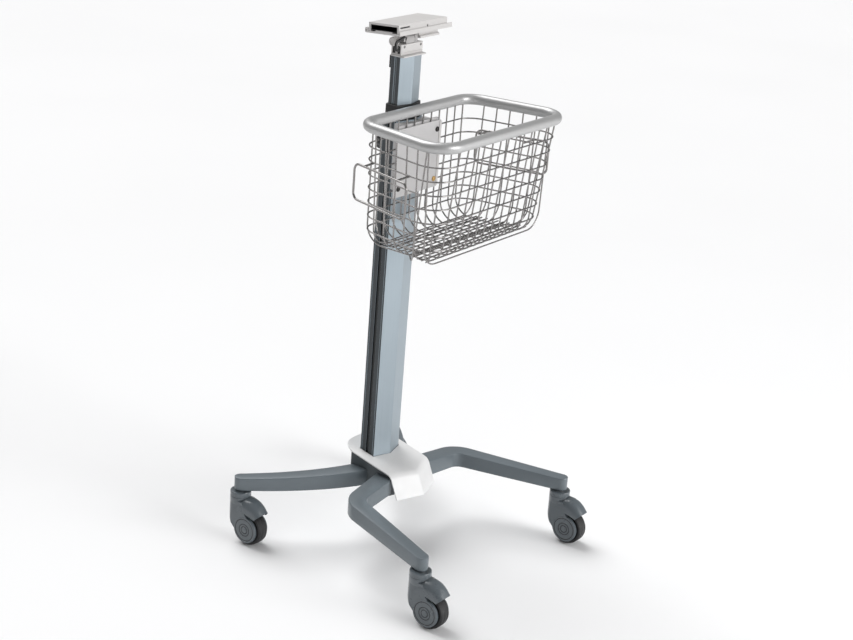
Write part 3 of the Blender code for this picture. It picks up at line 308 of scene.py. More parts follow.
def skin(rings, closed=False, caps=True):
    """Quads through rings of matching points, with flat caps on open ends."""
    bm = bmesh.new()
    loops = [[bm.verts.new(point) for point in ring] for ring in rings]
    count = len(loops[0])
    followers = loops[1:] + loops[:1] if closed else loops[1:]
    for near, far in zip(loops, followers):
        for index in range(count):
            after = (index + 1) % count
            bm.faces.new((near[index], near[after], far[after], far[index]))
    if caps and not closed:
        bm.faces.new(list(reversed(loops[0])))
        bm.faces.new(loops[-1])
    bmesh.ops.recalc_face_normals(bm, faces=bm.faces)
    return bm


def sheet(rows):
    """Open grid of quads through rows of points."""
    bm = bmesh.new()
    grid = [[bm.verts.new(point) for point in row] for row in rows]
    for near, far in zip(grid, grid[1:]):
        for index in range(len(near) - 1):
            bm.faces.new((near[index], near[index + 1], far[index + 1], far[index]))
    return bm


def extrude(outline, axis, low, high):
    place = AXES[axis]
    return skin([[place(u, v, low) for u, v in outline], [place(u, v, high) for u, v in outline]])


def lathe(profile, axis, steps=48, hollow=False):
    """Turned shape; profile points are (radius, place along the axis)."""
    place = AXES[axis]
    rings = []
    for radius, along in profile:
        turns = [math.tau * step / steps for step in range(steps)]
        rings.append([place(radius * math.cos(turn), radius * math.sin(turn), along) for turn in turns])
    return skin(rings, closed=hollow)


def block(x0, x1, y0, y1, z0, z1):
    return extrude([(x0, y0), (x1, y0), (x1, y1), (x0, y1)], "Z", z0, z1)


def moved(bm, offset):
    bmesh.ops.translate(bm, vec=offset, verts=bm.verts)
    return bm


def joined(*parts):
    """One bmesh of several."""
    whole = parts[0]
    for part in parts[1:]:
        mesh = bpy.data.meshes.new("part")
        part.to_mesh(mesh)
        part.free()
        whole.from_mesh(mesh)
        bpy.data.meshes.remove(mesh)
    return whole


def arc(centre, radius, start, end, steps):
    points = []
    for step in range(steps + 1):
        angle = math.radians(start + (end - start) * step / steps)
        points.append((centre[0] + radius * math.cos(angle), centre[1] + radius * math.sin(angle)))
    return points


def rounded(corners, radius, steps=6):
    """Closed outline with an arc at every corner."""
    points = []
    for index, corner in enumerate(corners):
        points += fillet(corners[index - 1], corner, corners[(index + 1) % len(corners)], radius, steps)
    return points


def fillet(before, corner, after, radius, steps):
    here = Vector(corner)
    back = (Vector(before) - here).normalized()
    ahead = (Vector(after) - here).normalized()
    half = back.angle(ahead) / 2
    centre = here + (back + ahead).normalized() * radius / math.sin(half)
    start = here + back * radius / math.tan(half) - centre
    end = here + ahead * radius / math.tan(half) - centre
    swing = start.angle(end)
    points = []
    for step in range(steps + 1):
        share = step / steps
        arm = (start * math.sin((1 - share) * swing) + end * math.sin(share * swing)) / math.sin(swing)
        points.append(tuple(centre + arm))
    return points


def hexagon(half_width, side_half, apex):
    return [(half_width, -side_half), (half_width, side_half), (0.0, apex),
            (-half_width, side_half), (-half_width, -side_half), (0.0, -apex)]


def smooth_run(points, steps):
    """Catmull-Rom curve through the points."""
    points = [Vector(point) for point in points]
    ends = [2 * points[0] - points[1]] + points + [2 * points[-1] - points[-2]]
    run = []
    for a, b, c, d in zip(ends, ends[1:], ends[2:], ends[3:]):
        for step in range(steps):
            t = step / steps
            run.append(0.5 * (2 * b + (c - a) * t + (2 * a - 5 * b + 4 * c - d) * t * t
                              + (3 * b - a - 3 * c + d) * t ** 3))
    run.append(points[-1])
    return run


# ------------------------------------------------------------------ pieces
STAND = Matrix.Translation(COLUMN) @ Matrix.Scale(MM, 4)
SEAT = Matrix.Translation(TILT_AXIS) @ Matrix.Rotation(-SEAT_LEAN, 4, "X") @ Matrix.Scale(MM, 4)


def draft(name, bm, place=STAND):
    """Object of a millimetre shape, with its place in its mesh."""
    bmesh.ops.transform(bm, matrix=place, verts=bm.verts)
    mesh = bpy.data.meshes.new(name)
    bm.to_mesh(mesh)
    bm.free()
    thing = bpy.data.objects.new(name, mesh)
    bpy.context.scene.collection.objects.link(thing)
    return thing


def cut(thing, bm, operation="DIFFERENCE", place=STAND):
    """Boolean with another shape, done at once."""
    tool = draft("tool", bm, place)
    step = thing.modifiers.new("cut", "BOOLEAN")
    step.operation = operation
    step.solver = "EXACT"
    step.object = tool
    settle(thing)
    bpy.data.objects.remove(tool)
    return thing


def settle(thing):
    """Turns a piece and its modifiers into a plain mesh."""
    bpy.context.view_layer.update()
    graph = bpy.context.evaluated_depsgraph_get()
    mesh = bpy.data.meshes.new_from_object(thing.evaluated_get(graph))
    old = thing.data
    thing.modifiers.clear()
    thing.data = mesh
    bpy.data.meshes.remove(old)
    return thing


def soften(thing, width, segments=2, angle=32):
    """Small round on the hard edges; flats stay flat."""
    step = thing.modifiers.new("soften", "BEVEL")
    step.width = width * MM
    step.segments = segments
    step.limit_method = "ANGLE"
    step.angle_limit = math.radians(angle)
    step.harden_normals = True
    thing.data.shade_smooth()
    settle(thing)
    return thing


def smooth(thing, angle=40):
    thing.data.shade_smooth()
    thing.data.set_sharp_from_angle(angle=math.radians(angle))
    return thing


def fit(thing, finish, body, covers=()):
    """Paints a piece, hangs it on its body and hides the CAD nodes it stands for."""
    if len(thing.data.polygons) == 0:
        raise RuntimeError(f"{thing.name} came out empty")
    thing.data.materials.clear()
    thing.data.materials.append(finishes()[finish])
    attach(thing, body)
    if covers:
        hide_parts(*covers)
    return thing


def two_tone(thing, finish, axis):
    """Gives the faces that look along X (0), Y (1) or Z (2) a second finish, a lit or shaded copy of the
    first: painted light and shade by facing.
    """
    thing.data.materials.append(finishes()[finish])
    for face in thing.data.polygons:
        if abs(face.normal[axis]) > 0.97:
            face.material_index = 1
    return thing


def repaint(node, finish):
    """Gives a CAD node that keeps its own shape a better finish."""
    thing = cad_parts[node]
    thing.data.materials.clear()
    thing.data.materials.append(finishes()[finish])


# ------------------------------------------------------------------ geometry node trees
def new_tree(name, inputs):
    tree = bpy.data.node_groups.new(name, "GeometryNodeTree")
    tree.interface.new_socket("Geometry", in_out="INPUT", socket_type="NodeSocketGeometry")
    for label, kind, value in inputs:
        socket = tree.interface.new_socket(label, in_out="INPUT", socket_type=kind)
        if value is not None:
            socket.default_value = value
    tree.interface.new_socket("Geometry", in_out="OUTPUT", socket_type="NodeSocketGeometry")
    return tree, tree.nodes.new("NodeGroupInput"), tree.nodes.new("NodeGroupOutput")


def finish_tree(tree, source, shape, out):
    """Realises the instances and sets the material at a tree's end."""
    realize = tree.nodes.new("GeometryNodeRealizeInstances")
    paint = tree.nodes.new("GeometryNodeSetMaterial")
    tree.links.new(shape, realize.inputs["Geometry"])
    tree.links.new(realize.outputs["Geometry"], paint.inputs["Geometry"])
    tree.links.new(source.outputs["Material"], paint.inputs["Material"])
    tree.links.new(paint.outputs["Geometry"], out.inputs["Geometry"])


def wire_tree():
    """Sweeps a round section along every edge path of a mesh."""
    tree, source, out = new_tree("stand_wire", [
        ("Radius", "NodeSocketFloat", 0.002), ("Sides", "NodeSocketInt", 8),
        ("Material", "NodeSocketMaterial", None)])
    to_curve = tree.nodes.new("GeometryNodeMeshToCurve")
    circle = tree.nodes.new("GeometryNodeCurvePrimitiveCircle")
    sweep = tree.nodes.new("GeometryNodeCurveToMesh")
    sweep.inputs["Fill Caps"].default_value = True
    smooth_shade = tree.nodes.new("GeometryNodeSetShadeSmooth")
    tree.links.new(source.outputs["Geometry"], to_curve.inputs["Mesh"])
    tree.links.new(source.outputs["Radius"], circle.inputs["Radius"])
    tree.links.new(source.outputs["Sides"], circle.inputs["Resolution"])
    tree.links.new(to_curve.outputs["Curve"], sweep.inputs["Curve"])
    tree.links.new(circle.outputs["Curve"], sweep.inputs["Profile Curve"])
    tree.links.new(sweep.outputs["Mesh"], smooth_shade.inputs["Geometry"])
    finish_tree(tree, source, smooth_shade.outputs["Geometry"], out)
    return tree


def rib_tree():
    """Sets copies of one object evenly round the Z axis."""
    tree, source, out = new_tree("stand_ribs", [
        ("Rib", "NodeSocketObject", None), ("Count", "NodeSocketInt", 24),
        ("Radius", "NodeSocketFloat", 0.01), ("Material", "NodeSocketMaterial", None)])
    circle = tree.nodes.new("GeometryNodeMeshCircle")
    circle.fill_type = "NONE"
    info = tree.nodes.new("GeometryNodeObjectInfo")
    index = tree.nodes.new("GeometryNodeInputIndex")
    share = tree.nodes.new("ShaderNodeMath")
    share.operation = "DIVIDE"
    turn = tree.nodes.new("ShaderNodeMath")
    turn.operation = "MULTIPLY"
    turn.inputs[1].default_value = math.tau
    spin = tree.nodes.new("ShaderNodeCombineXYZ")
    place = tree.nodes.new("GeometryNodeInstanceOnPoints")
    add = tree.nodes.new("GeometryNodeJoinGeometry")
    tree.links.new(source.outputs["Count"], circle.inputs["Vertices"])
    tree.links.new(source.outputs["Radius"], circle.inputs["Radius"])
    tree.links.new(source.outputs["Rib"], info.inputs["Object"])
    tree.links.new(index.outputs["Index"], share.inputs[0])
    tree.links.new(source.outputs["Count"], share.inputs[1])
    tree.links.new(share.outputs["Value"], turn.inputs[0])
    tree.links.new(turn.outputs["Value"], spin.inputs["Z"])
    tree.links.new(circle.outputs["Mesh"], place.inputs["Points"])
    tree.links.new(info.outputs["Geometry"], place.inputs["Instance"])
    tree.links.new(spin.outputs["Vector"], place.inputs["Rotation"])
    tree.links.new(source.outputs["Geometry"], add.inputs["Geometry"])
    tree.links.new(place.outputs["Instances"], add.inputs["Geometry"])
    finish_tree(tree, source, add.outputs["Geometry"], out)
    return tree


def scatter_tree():
    """Sets one object on every point of a mesh, as screws are."""
    tree, source, out = new_tree("stand_screws", [
        ("Screw", "NodeSocketObject", None), ("Material", "NodeSocketMaterial", None)])
    info = tree.nodes.new("GeometryNodeObjectInfo")
    place = tree.nodes.new("GeometryNodeInstanceOnPoints")
    tree.links.new(source.outputs["Screw"], info.inputs["Object"])
    tree.links.new(source.outputs["Geometry"], place.inputs["Points"])
    tree.links.new(info.outputs["Geometry"], place.inputs["Instance"])
    finish_tree(tree, source, place.outputs["Instances"], out)
    return tree


def shared_tree(name, maker):
    return bpy.data.node_groups.get(name) or maker()


def grow(thing, tree, values):
    """Runs a tree on an object with its inputs set by their identifiers, and keeps the plain mesh."""
    step = thing.modifiers.new("grow", "NODES")
    step.node_group = tree
    for item in tree.interface.items_tree:
        if item.item_type == "SOCKET" and item.in_out == "INPUT" and item.name in values:
            step[item.identifier] = values[item.name]
    return settle(thing)


def wires(name, paths, radius, sides, finish, place=STAND):
    """Bars along paths given in millimetres; a path that ends where it starts is closed."""
    mesh = bpy.data.meshes.new(name)
    verts = []
    edges = []
    for path in paths:
        first = len(verts)
        closed = (Vector(path[0]) - Vector(path[-1])).length < 1e-6
        points = path[:-1] if closed else path
        verts += [place @ Vector(point) for point in points]
        edges += [(first + index, first + index + 1) for index in range(len(points) - 1)]
        if closed:
            edges.append((first + len(points) - 1, first))
    mesh.from_pydata(verts, edges, [])
    thing = bpy.data.objects.new(name, mesh)
    bpy.context.scene.collection.objects.link(thing)
    grow(thing, shared_tree("stand_wire", wire_tree),
         {"Radius": radius, "Sides": sides, "Material": finishes()[finish]})
    return thing


# ------------------------------------------------------------------ base
LEG_EDGE = 3.2
HUB_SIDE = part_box("hub_casting")[1].x / MM
HUB_FOOT = 126.0
HUB_BELOW_COVER = 7.5
COVER_HALF_WIDTH = 67.0
COVER_WALL = 3.0
COVER_FOOT = 128.0
COVER_TAIL = 54.0
COVER_CREASE = -85.0
COVER_FRONT = -107.0
COVER_PROW = 24.0
LEG_ROOT_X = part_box("front_leg_right")[0].x / MM
LEG_ROOT_TOP = 168.0
LEG_ROOT_DEPTH = 36.0
LEG_TIP_TOP = 148.6
LEG_TIP_DEPTH = 29.0
LEG_TIP_RADIUS = 14.5


def leg_centre_line(corner):
    """Plan of a leg's centre line, from the hub's wall to its caster."""
    swivel = (SWIVELS[corner] - COLUMN) / MM
    tip = Vector((abs(swivel.x), swivel.y))
    if corner.startswith("front"):
        root = Vector((LEG_ROOT_X, -62.5))
        bend = Vector((180.0, -77.0))
        run = [root.lerp(bend, share / 10) for share in range(6)]
        run += [Vector(point) for point in fillet(root, bend, tip, 45.0, 16)]
        last = run[-1]
        run += [last.lerp(tip, share / 10) for share in range(1, 11)]
        return run
    root = Vector((LEG_ROOT_X, 5.0))
    bend = Vector((160.0, 64.0))
    return [root.lerp(bend, t / 28).lerp(bend.lerp(tip, t / 28), t / 28) for t in range(29)]


def leg_section(half, top, depth, edge):
    """Flat-topped section with a soft upper edge and a smaller lower one."""
    low = edge * 0.6
    bottom = top - depth
    points = arc((half - edge, top - edge), edge, 0, 90, 3)
    points += arc((edge - half, top - edge), edge, 90, 180, 3)
    points += arc((low - half, bottom + low), low, 180, 270, 2)
    points += arc((half - low, bottom + low), low, 270, 360, 2)
    return points


def leg_shape(corner):
    run = leg_centre_line(corner)
    root_width = 44.0 if corner.startswith("front") else 42.0
    sign = -1 if corner.endswith("left") else 1
    lengths = [0.0]
    for near, far in zip(run, run[1:]):
        lengths.append(lengths[-1] + (far - near).length)
    total = lengths[-1]
    heading = (run[-1] - run[-2]).normalized()
    stations = [(point, length / total, 1.0, None) for point, length in zip(run, lengths)]
    for turn in (12, 24, 36, 48, 60, 70, 79, 86):
        reach = LEG_TIP_RADIUS * math.sin(math.radians(turn))
        stations.append((run[-1] + heading * reach, 1.0, math.cos(math.radians(turn)), heading))
    rings = []
    for index, (point, share, pinch, along) in enumerate(stations):
        if along is None:
            back = run[max(index - 1, 0)]
            ahead = run[min(index + 1, len(run) - 1)]
            along = (ahead - back).normalized() if index else Vector((1.0, 0.0))
        side = Vector((-along.y, along.x))
        half = (root_width + (2 * LEG_TIP_RADIUS - root_width) * share) / 2 * pinch
        top = LEG_ROOT_TOP + (LEG_TIP_TOP - LEG_ROOT_TOP) * share
        depth = LEG_ROOT_DEPTH + (LEG_TIP_DEPTH - LEG_ROOT_DEPTH) * share
        section = leg_section(half, top, depth, min(LEG_EDGE, half * 0.45))
        rings.append([(sign * (point.x + side.x * u), point.y + side.y * u, z) for u, z in section])
    return skin(rings)


class STAND_OT_legs(bpy.types.Operator):
    """Makes the four legs and the hub casting they bolt to"""
    bl_idname = "stand.legs"
    bl_label = "Legs and hub"

    def execute(self, context):
        for corner in CORNERS:
            end, side = corner.split("_")
            node = f"{end}_leg_{side}"
            leg = smooth(draft(f"leg_{corner}", leg_shape(corner)), 28)
            fit(leg, "leg_enamel", "base", [node])
        plan = [(HUB_SIDE, -79), (HUB_SIDE, 30), (34, 47), (-34, 47), (-HUB_SIDE, 30),
                (-HUB_SIDE, -79), (0, -96)]
        foot = [(x, y, HUB_FOOT) for x, y in plan]
        top = [(x, y, cover_height(y) - HUB_BELOW_COVER) for x, y in plan]
        hub = draft("hub", skin([foot, top]))
        pocket = extrude(hexagon(44.4, 18.9, 29.9), "Z", COLUMN_FOOT - 0.3, 260)
        soften(cut(hub, pocket), 1.2, 2)
        # The hub is painted darker than the legs: painted shade under the cover.
        fit(hub, "hub_enamel", "base", ["hub_casting"])
        return {"FINISHED"}


def cover_height(y):
    return 199.5 + 0.22 * y


def cover_rows():
    """Outer skin of the cover as rows across it, from the tail over the crease to the front foot."""
    rows = []
    stations = [-1 + 2 * step / 40 for step in range(41)]
    for x_share in stations:
        share = abs(x_share)
        droop = 3.0 * share ** 4
        prow = COVER_PROW * (1 - smooth_abs(x_share))
        tail = COVER_TAIL - 30.0 * share ** 6
        crease = COVER_CREASE - prow
        foot = COVER_FRONT - prow
        row = [(tail + (crease + 30 - tail) * step / 14, None) for step in range(15)]
        line = [(y, cover_height(y) - droop) for y, _ in row]
        line += fillet(line[-1], (crease, cover_height(crease) - droop), (foot, COVER_FOOT), 20.0, 10)
        end = Vector(line[-1])
        line += [tuple(end.lerp(Vector((foot, COVER_FOOT)), step / 5)) for step in range(1, 6)]
        rows.append([(x_share * COVER_HALF_WIDTH, y, z) for y, z in line])
    return rows


def smooth_abs(share):
    """Absolute value with a soft nose, so the prow's crease is slightly round."""
    return math.sqrt(share * share + 0.0016)


class STAND_OT_cover(bpy.types.Operator):
    """Makes the white cover over the hub"""
    bl_idname = "stand.cover"
    bl_label = "Hub cover"

    def execute(self, context):
        shell = draft("cover", sheet(cover_rows()))
        face_out(shell, Vector((0, COLUMN.y, 0.16)))
        wall = shell.modifiers.new("wall", "SOLIDIFY")
        wall.thickness = COVER_WALL * MM
        wall.offset = -1
        settle(shell)
        hole = extrude(hexagon(45.0, 19.5, 30.5), "Z", 150, 260)
        cut(shell, hole)
        soften(shell, 0.9, 3, 50)
        fit(shell, "cover_white", "base", ["base_cover"])
        return {"FINISHED"}


def face_out(thing, centre):
    """Turns an open sheet's faces away from a point inside it."""
    mesh = thing.data
    lean = sum((face.center - centre).dot(face.normal) for face in mesh.polygons)
    if lean < 0:
        mesh.flip_normals()


# ------------------------------------------------------------------ column and mast
def column_outline():
    """Column section: hexagon with a stepped groove down each flat side."""
    slot = [(44.0, -4.0), (42.4, -4.0), (42.4, -6.5), (39.8, -6.5), (39.8, 6.5), (42.4, 6.5), (42.4, 4.0),
            (44.0, 4.0)]
    right = [(44.0, -18.5), (44.0, -15.2), (43.3, -14.9), (43.3, -14.1), (44.0, -13.8)] + slot
    right += [(44.0, 13.8), (43.3, 14.1), (43.3, 14.9), (44.0, 15.2), (44.0, 18.5)]
    left = [(-x, -y) for x, y in right]
    return right + [(0.0, 29.5)] + left + [(0.0, -29.5)]


def mast_outline():
    right = [(35.5, -11.8), (35.5, -2.2), (34.6, -1.8), (34.6, 1.8), (35.5, 2.2), (35.5, 11.8)]
    left = [(-x, -y) for x, y in right]
    return right + [(0.0, 20.7)] + left + [(0.0, -20.7)]


class STAND_OT_column(bpy.types.Operator):
    """Makes the grooved column, the mast inside it, the bush and the lock knob"""
    bl_idname = "stand.column"
    bl_label = "Column and mast"

    def execute(self, context):
        column = draft("column", extrude(column_outline(), "Z", COLUMN_FOOT, COLUMN_TOP))
        cut(column, extrude(hexagon(37.5, 17.5, 26.9), "Z", COLUMN_FOOT - 5, COLUMN_TOP + 5))
        soften(column, 0.45, 2, 20)
        fit(column, "column_anodised", "base", ["outer_column"])
        # The faces that look along X get the darkened copy: painted shade.
        two_tone(column, "column_dark", 0)
        # Near-black strips inside each groove: painted shade in the grooves.
        strips = []
        for sign in (-1, 1):
            section = [(sign * 40.0, -6.2), (sign * 40.0, 6.2), (sign * 41.2, 6.2), (sign * 41.2, -6.2)]
            strips.append(extrude(section, "Z", COLUMN_FOOT + 55, COLUMN_TOP - 1))
        strip = soften(draft("groove_strips", joined(*strips)), 0.3, 1)
        fit(strip, "groove_dark", "base")
        mast = draft("mast", extrude(mast_outline(), "Z", MAST_FOOT, MAST_TOP))
        cut(mast, extrude(hexagon(33.0, 9.9, 18.1), "Z", MAST_FOOT - 10, MAST_TOP + 5))
        soften(mast, 0.45, 2, 20)
        fit(mast, "column_anodised", "mast", ["mast_tube"])
        # The faces that look along X get the darkened copy: painted shade.
        two_tone(mast, "column_dark", 0)
        collar = [[(x, y, z) for x, y in hexagon(*shape)] for shape, z in (
            ((39.0, 14.5, 24.3), COLUMN_TOP + 0.3), ((39.2, 14.8, 24.6), COLUMN_TOP + 6),
            ((39.2, 14.8, 24.6), COLUMN_TOP + 29), ((38.4, 14.0, 23.6), COLUMN_TOP + 32))]
        bush = draft("bush_collar", skin(collar))
        cut(bush, extrude(hexagon(36.0, 12.2, 21.2), "Z", COLUMN_TOP - 40, COLUMN_TOP + 60))
        soften(bush, 0.6, 2)
        fit(bush, "black_plastic", "base")
        for node in ("column_bush", "mast_glide", "mast_plug", "gas_spring_cylinder", "cable_clip"):
            repaint(node, "black_plastic")
        repaint("gas_spring_rod", "steel_bright")
        self.knob()
        return {"FINISHED"}

    def knob(self):
        """Lobed hand knob on its stud, behind the column."""
        low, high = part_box("lock_knob")
        centre = (low + high) / 2
        start = (low.y - COLUMN.y) / MM
        end = (high.y - COLUMN.y) / MM
        foot = end - 20
        rings = []
        for radius, along, lobe in ((4, start, 0), (4, foot, 0), (10.5, foot, 0), (11, foot + 3, 0),
                                    (15.5, foot + 5, 1.2), (16.6, foot + 8, 1.4), (16.6, end - 3, 1.4),
                                    (15.6, end - 0.8, 1.3), (13.5, end, 0.6), (8, end - 1.2, 0)):
            ring = []
            for step in range(72):
                turn = math.tau * step / 72
                out = radius + lobe * math.cos(6 * turn)
                ring.append((out * math.cos(turn), along, out * math.sin(turn) + centre.z / MM))
            rings.append(ring)
        knob = smooth(draft("lock_knob_grip", skin(rings)), 38)
        fit(knob, "black_plastic", "lock_knob", ["lock_knob"])


# ------------------------------------------------------------------ basket
RIM_Z = middle("basket_rim").z / MM
TUB_DEPTH = 248.0
RIM_PLAN = [(178.7, -35.8), (-178.7, -35.8), (-216.4, -259.8), (216.4, -259.8)]


def tub_limits(z):
    """Back y, front y and half-widths at back and front of the wire tub at a height."""
    share = (RIM_Z - z) / TUB_DEPTH
    return -43.5, -257.5 + 30 * share, 176.9 - 15 * share, 214.5 - 15 * share


def tub_ring(z, proud, radius):
    back, front, back_half, front_half = tub_limits(z)
    back += proud
    front -= proud
    corners = [(back_half + proud, back), (-back_half - proud, back),
               (-front_half - proud, front), (front_half + proud, front)]
    flat = [(x, y, z) for x, y in rounded(corners, radius, 9)]
    return flat + flat[:1]


def cross_wire(x, top, floor):
    """One wire down the front, under the floor and up the back, at a place across the basket."""
    back, front, _, _ = tub_limits(top)
    _, low_front, _, _ = tub_limits(floor)
    corners = [(low_front, floor), (back, floor)]
    line = [(front, top)]
    line += fillet((front, top), corners[0], corners[1], 40.0, 9)
    line += fillet(corners[0], corners[1], (back, top), 40.0, 9)
    line.append((back, top))
    return line


def side_wire(y, top, floor):
    """One wire down a side, across the floor and up the other side, at a place along the basket."""
    half_top = side_half(y, top)
    half_floor = side_half(y, floor)
    line = [(half_top, top)]
    line += fillet((half_top, top), (half_floor, floor), (-half_floor, floor), 40.0, 9)
    line += fillet((half_floor, floor), (-half_floor, floor), (-half_top, top), 40.0, 9)
    line.append((-half_top, top))
    return line


def side_half(y, z):
    """Half-width of the tub's straight side wall at a place along it."""
    back, front, back_half, front_half = tub_limits(z)
    share = (y - back) / (front - back)
    return back_half + (front_half - back_half) * share


class STAND_OT_basket(bpy.types.Operator):
    """Makes the wire basket, its rim, plate, bracket, screws and cord loops"""
    bl_idname = "stand.basket"
    bl_label = "Basket"

    def execute(self, context):
        wire = settings().wire
        radius = wire.radius / MM
        pitch = wire.pitch / MM
        top = RIM_Z - 6.0
        floor = RIM_Z - TUB_DEPTH + radius + 0.4
        rings = []
        level = RIM_Z - 40.0
        while level > floor + 25:
            rings.append(tub_ring(level, 2 * radius, 45.0))
            level -= wire.ring_pitch / MM
        uprights = []
        count = int(2 * 150 / pitch)
        for index in range(count + 1):
            x = -150 + 300 * index / count
            uprights.append([(x, y, z) for y, z in cross_wire(x, top, floor)])
        for sign in (-1, 1):
            for share in (0.35, 0.85):
                uprights.append(self.corner_wire(sign, share, top, floor))
        for index in range(6):
            y = -76 - 148 * index / 5
            line = side_wire(y, top, floor + 2 * radius)
            uprights.append([(x, y, z) for x, z in line])
        basket = wires("basket_wires", rings + uprights, wire.radius, wire.sides, "wire_nickel")
        fit(basket, "wire_nickel", "base", ["basket"])
        self.floor_wires(top, floor, radius)
        self.rim()
        self.plate()
        self.loops()
        return {"FINISHED"}

    def corner_wire(self, sign, share, top, floor):
        """A front corner's upright, which turns under and ends at the floor."""
        points = []
        for z in (top, 880.0, 820.0, floor + 40):
            _, front, _, front_half = tub_limits(z)
            angle = math.radians(-90 + 90 * share)
            centre = (front_half - 45.0, front + 45.0)
            points.append((sign * (centre[0] + 43 * math.cos(angle)), centre[1] + 43 * math.sin(angle), z))
        last = Vector(points[-1])
        inward = Vector((-sign * 1.0, 0.9, 0.0)).normalized()
        for turn in (20, 40, 60, 80, 90):
            angle = math.radians(turn)
            step = last + inward * 40 * (1 - math.cos(angle)) + Vector((0, 0, -40 * math.sin(angle)))
            points.append(tuple(step))
        points.append(tuple(Vector(points[-1]) + inward * 18))
        return points

    def floor_wires(self, top, floor, radius):
        """Closer wires along the floor between the side walls."""
        paths = []
        for index in range(1, 12):
            y = -76 - 148 * index / 12
            half = side_half(y, floor) - 22
            paths.append([(-half, y, floor + 2 * radius + 2.2), (half, y, floor + 2 * radius + 2.2)])
        wire = settings().wire
        grid = wires("basket_floor_wires", paths, wire.radius, wire.sides, "wire_nickel")
        fit(grid, "wire_nickel", "base")

    def rim(self):
        path = [(x, y, RIM_Z) for x, y in rounded(RIM_PLAN, 45.0, 14)]
        rim = wires("rim_tube", [path + path[:1]], 11.3 * MM, 28, "rim_silver")
        fit(rim, "rim_silver", "base", ["basket_rim"])

    def plate(self):
        low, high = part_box("basket_plate")
        front = (low.y - COLUMN.y) / MM
        back = (high.y - COLUMN.y) / MM
        outline = rounded([(-74, 790), (74, 790), (74, 933), (-74, 933)], 4.0, 4)
        sheet_metal = draft("mounting_plate", extrude(outline, "Y", front, back))
        soften(sheet_metal, 0.5, 2)
        fit(sheet_metal, "plate_enamel", "base", ["basket_plate"])
        # Flat strip on the plate's right edge in the lighter head enamel: painted highlight of the folded
        # edge.
        fold = draft("plate_fold", block(67.0, 74.0, front - 1.3, front - 0.1, 793, 930))
        fit(soften(fold, 0.4, 2), "head_enamel", "base")
        saddle = draft("column_saddle", bracket_shape())
        soften(saddle, 1.0, 2)
        fit(saddle, "plate_enamel", "base", ["basket_bracket"])
        for number in (1, 2, 3, 4):
            self.screw(number, "screw_brass" if number == 4 else "screw_dark")

    def screw(self, number, finish):
        """Pan-head screw with a round socket, through the plate into the bracket."""
        low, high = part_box(f"plate_screw_{number}")
        centre = (low + high) / 2
        profile = [(1.6, 1.1), (2.0, 0.05), (3.6, 0.0), (4.9, 0.7), (5.5, 1.7), (5.5, 3.0),
                   (2.5, 3.0), (2.5, 15.2)]
        shape = lathe(profile, "Y", 36)
        place = Matrix.Translation((centre.x, low.y, centre.z)) @ Matrix.Scale(MM, 4)
        screw = smooth(draft(f"pan_screw_{number}", shape, place), 35)
        fit(screw, finish, "base", [f"plate_screw_{number}"])

    def loops(self):
        """Cord loops with their stand-offs."""
        for side, sign in (("left", -1), ("right", 1)):
            back = Vector((sign * 205.0, -46.0, 0))
            front = Vector((sign * 245.0, -205.0, 0))
            along = (front - back).normalized()
            length = (front - back).length
            flat = rounded([(0, 818), (length, 818), (length, 890), (0, 890)], 14.0, 8)
            loop = [tuple(back + along * u + Vector((0, 0, z))) for u, z in flat]
            paths = [loop + loop[:1]]
            for u in (30.0, length - 30.0):
                start = back + along * u
                wall = side_half(start.y, 890.0) - 1.5
                inner = Vector((sign * wall, start.y + 4 * (1 if u < 60 else 0.5), 890.0))
                paths.append([tuple(start + Vector((0, 0, 890.0))), tuple(inner)])
            thing = wires(f"cord_loop_wire_{side}", paths, 2.3 * MM, 12, "wire_nickel")
            fit(thing, "wire_nickel", "base", [f"cord_loop_{side}"])


def bracket_shape():
    """Saddle between the plate and the column's front, with a lightening pocket down each flank."""
    low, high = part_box("basket_bracket")
    front = (low.y - COLUMN.y) / MM
    wing = (high.y - COLUMN.y) / MM
    half = high.x / MM
    right = [(half, front), (half, front + 4.5), (50, front + 4.5), (50, wing), (44, wing)]
    outline = right + [(0, wing - 11.0)] + [(-x, y) for x, y in reversed(right)]
    return extrude(outline, "Z", low.z / MM, high.z / MM)


# ------------------------------------------------------------------ head
LEVER_SECTION = ((1, 0.55), (0.55, 1), (-0.55, 1), (-1, 0.55), (-1, -0.55), (-0.55, -1), (0.55, -1),
                 (1, -0.55))


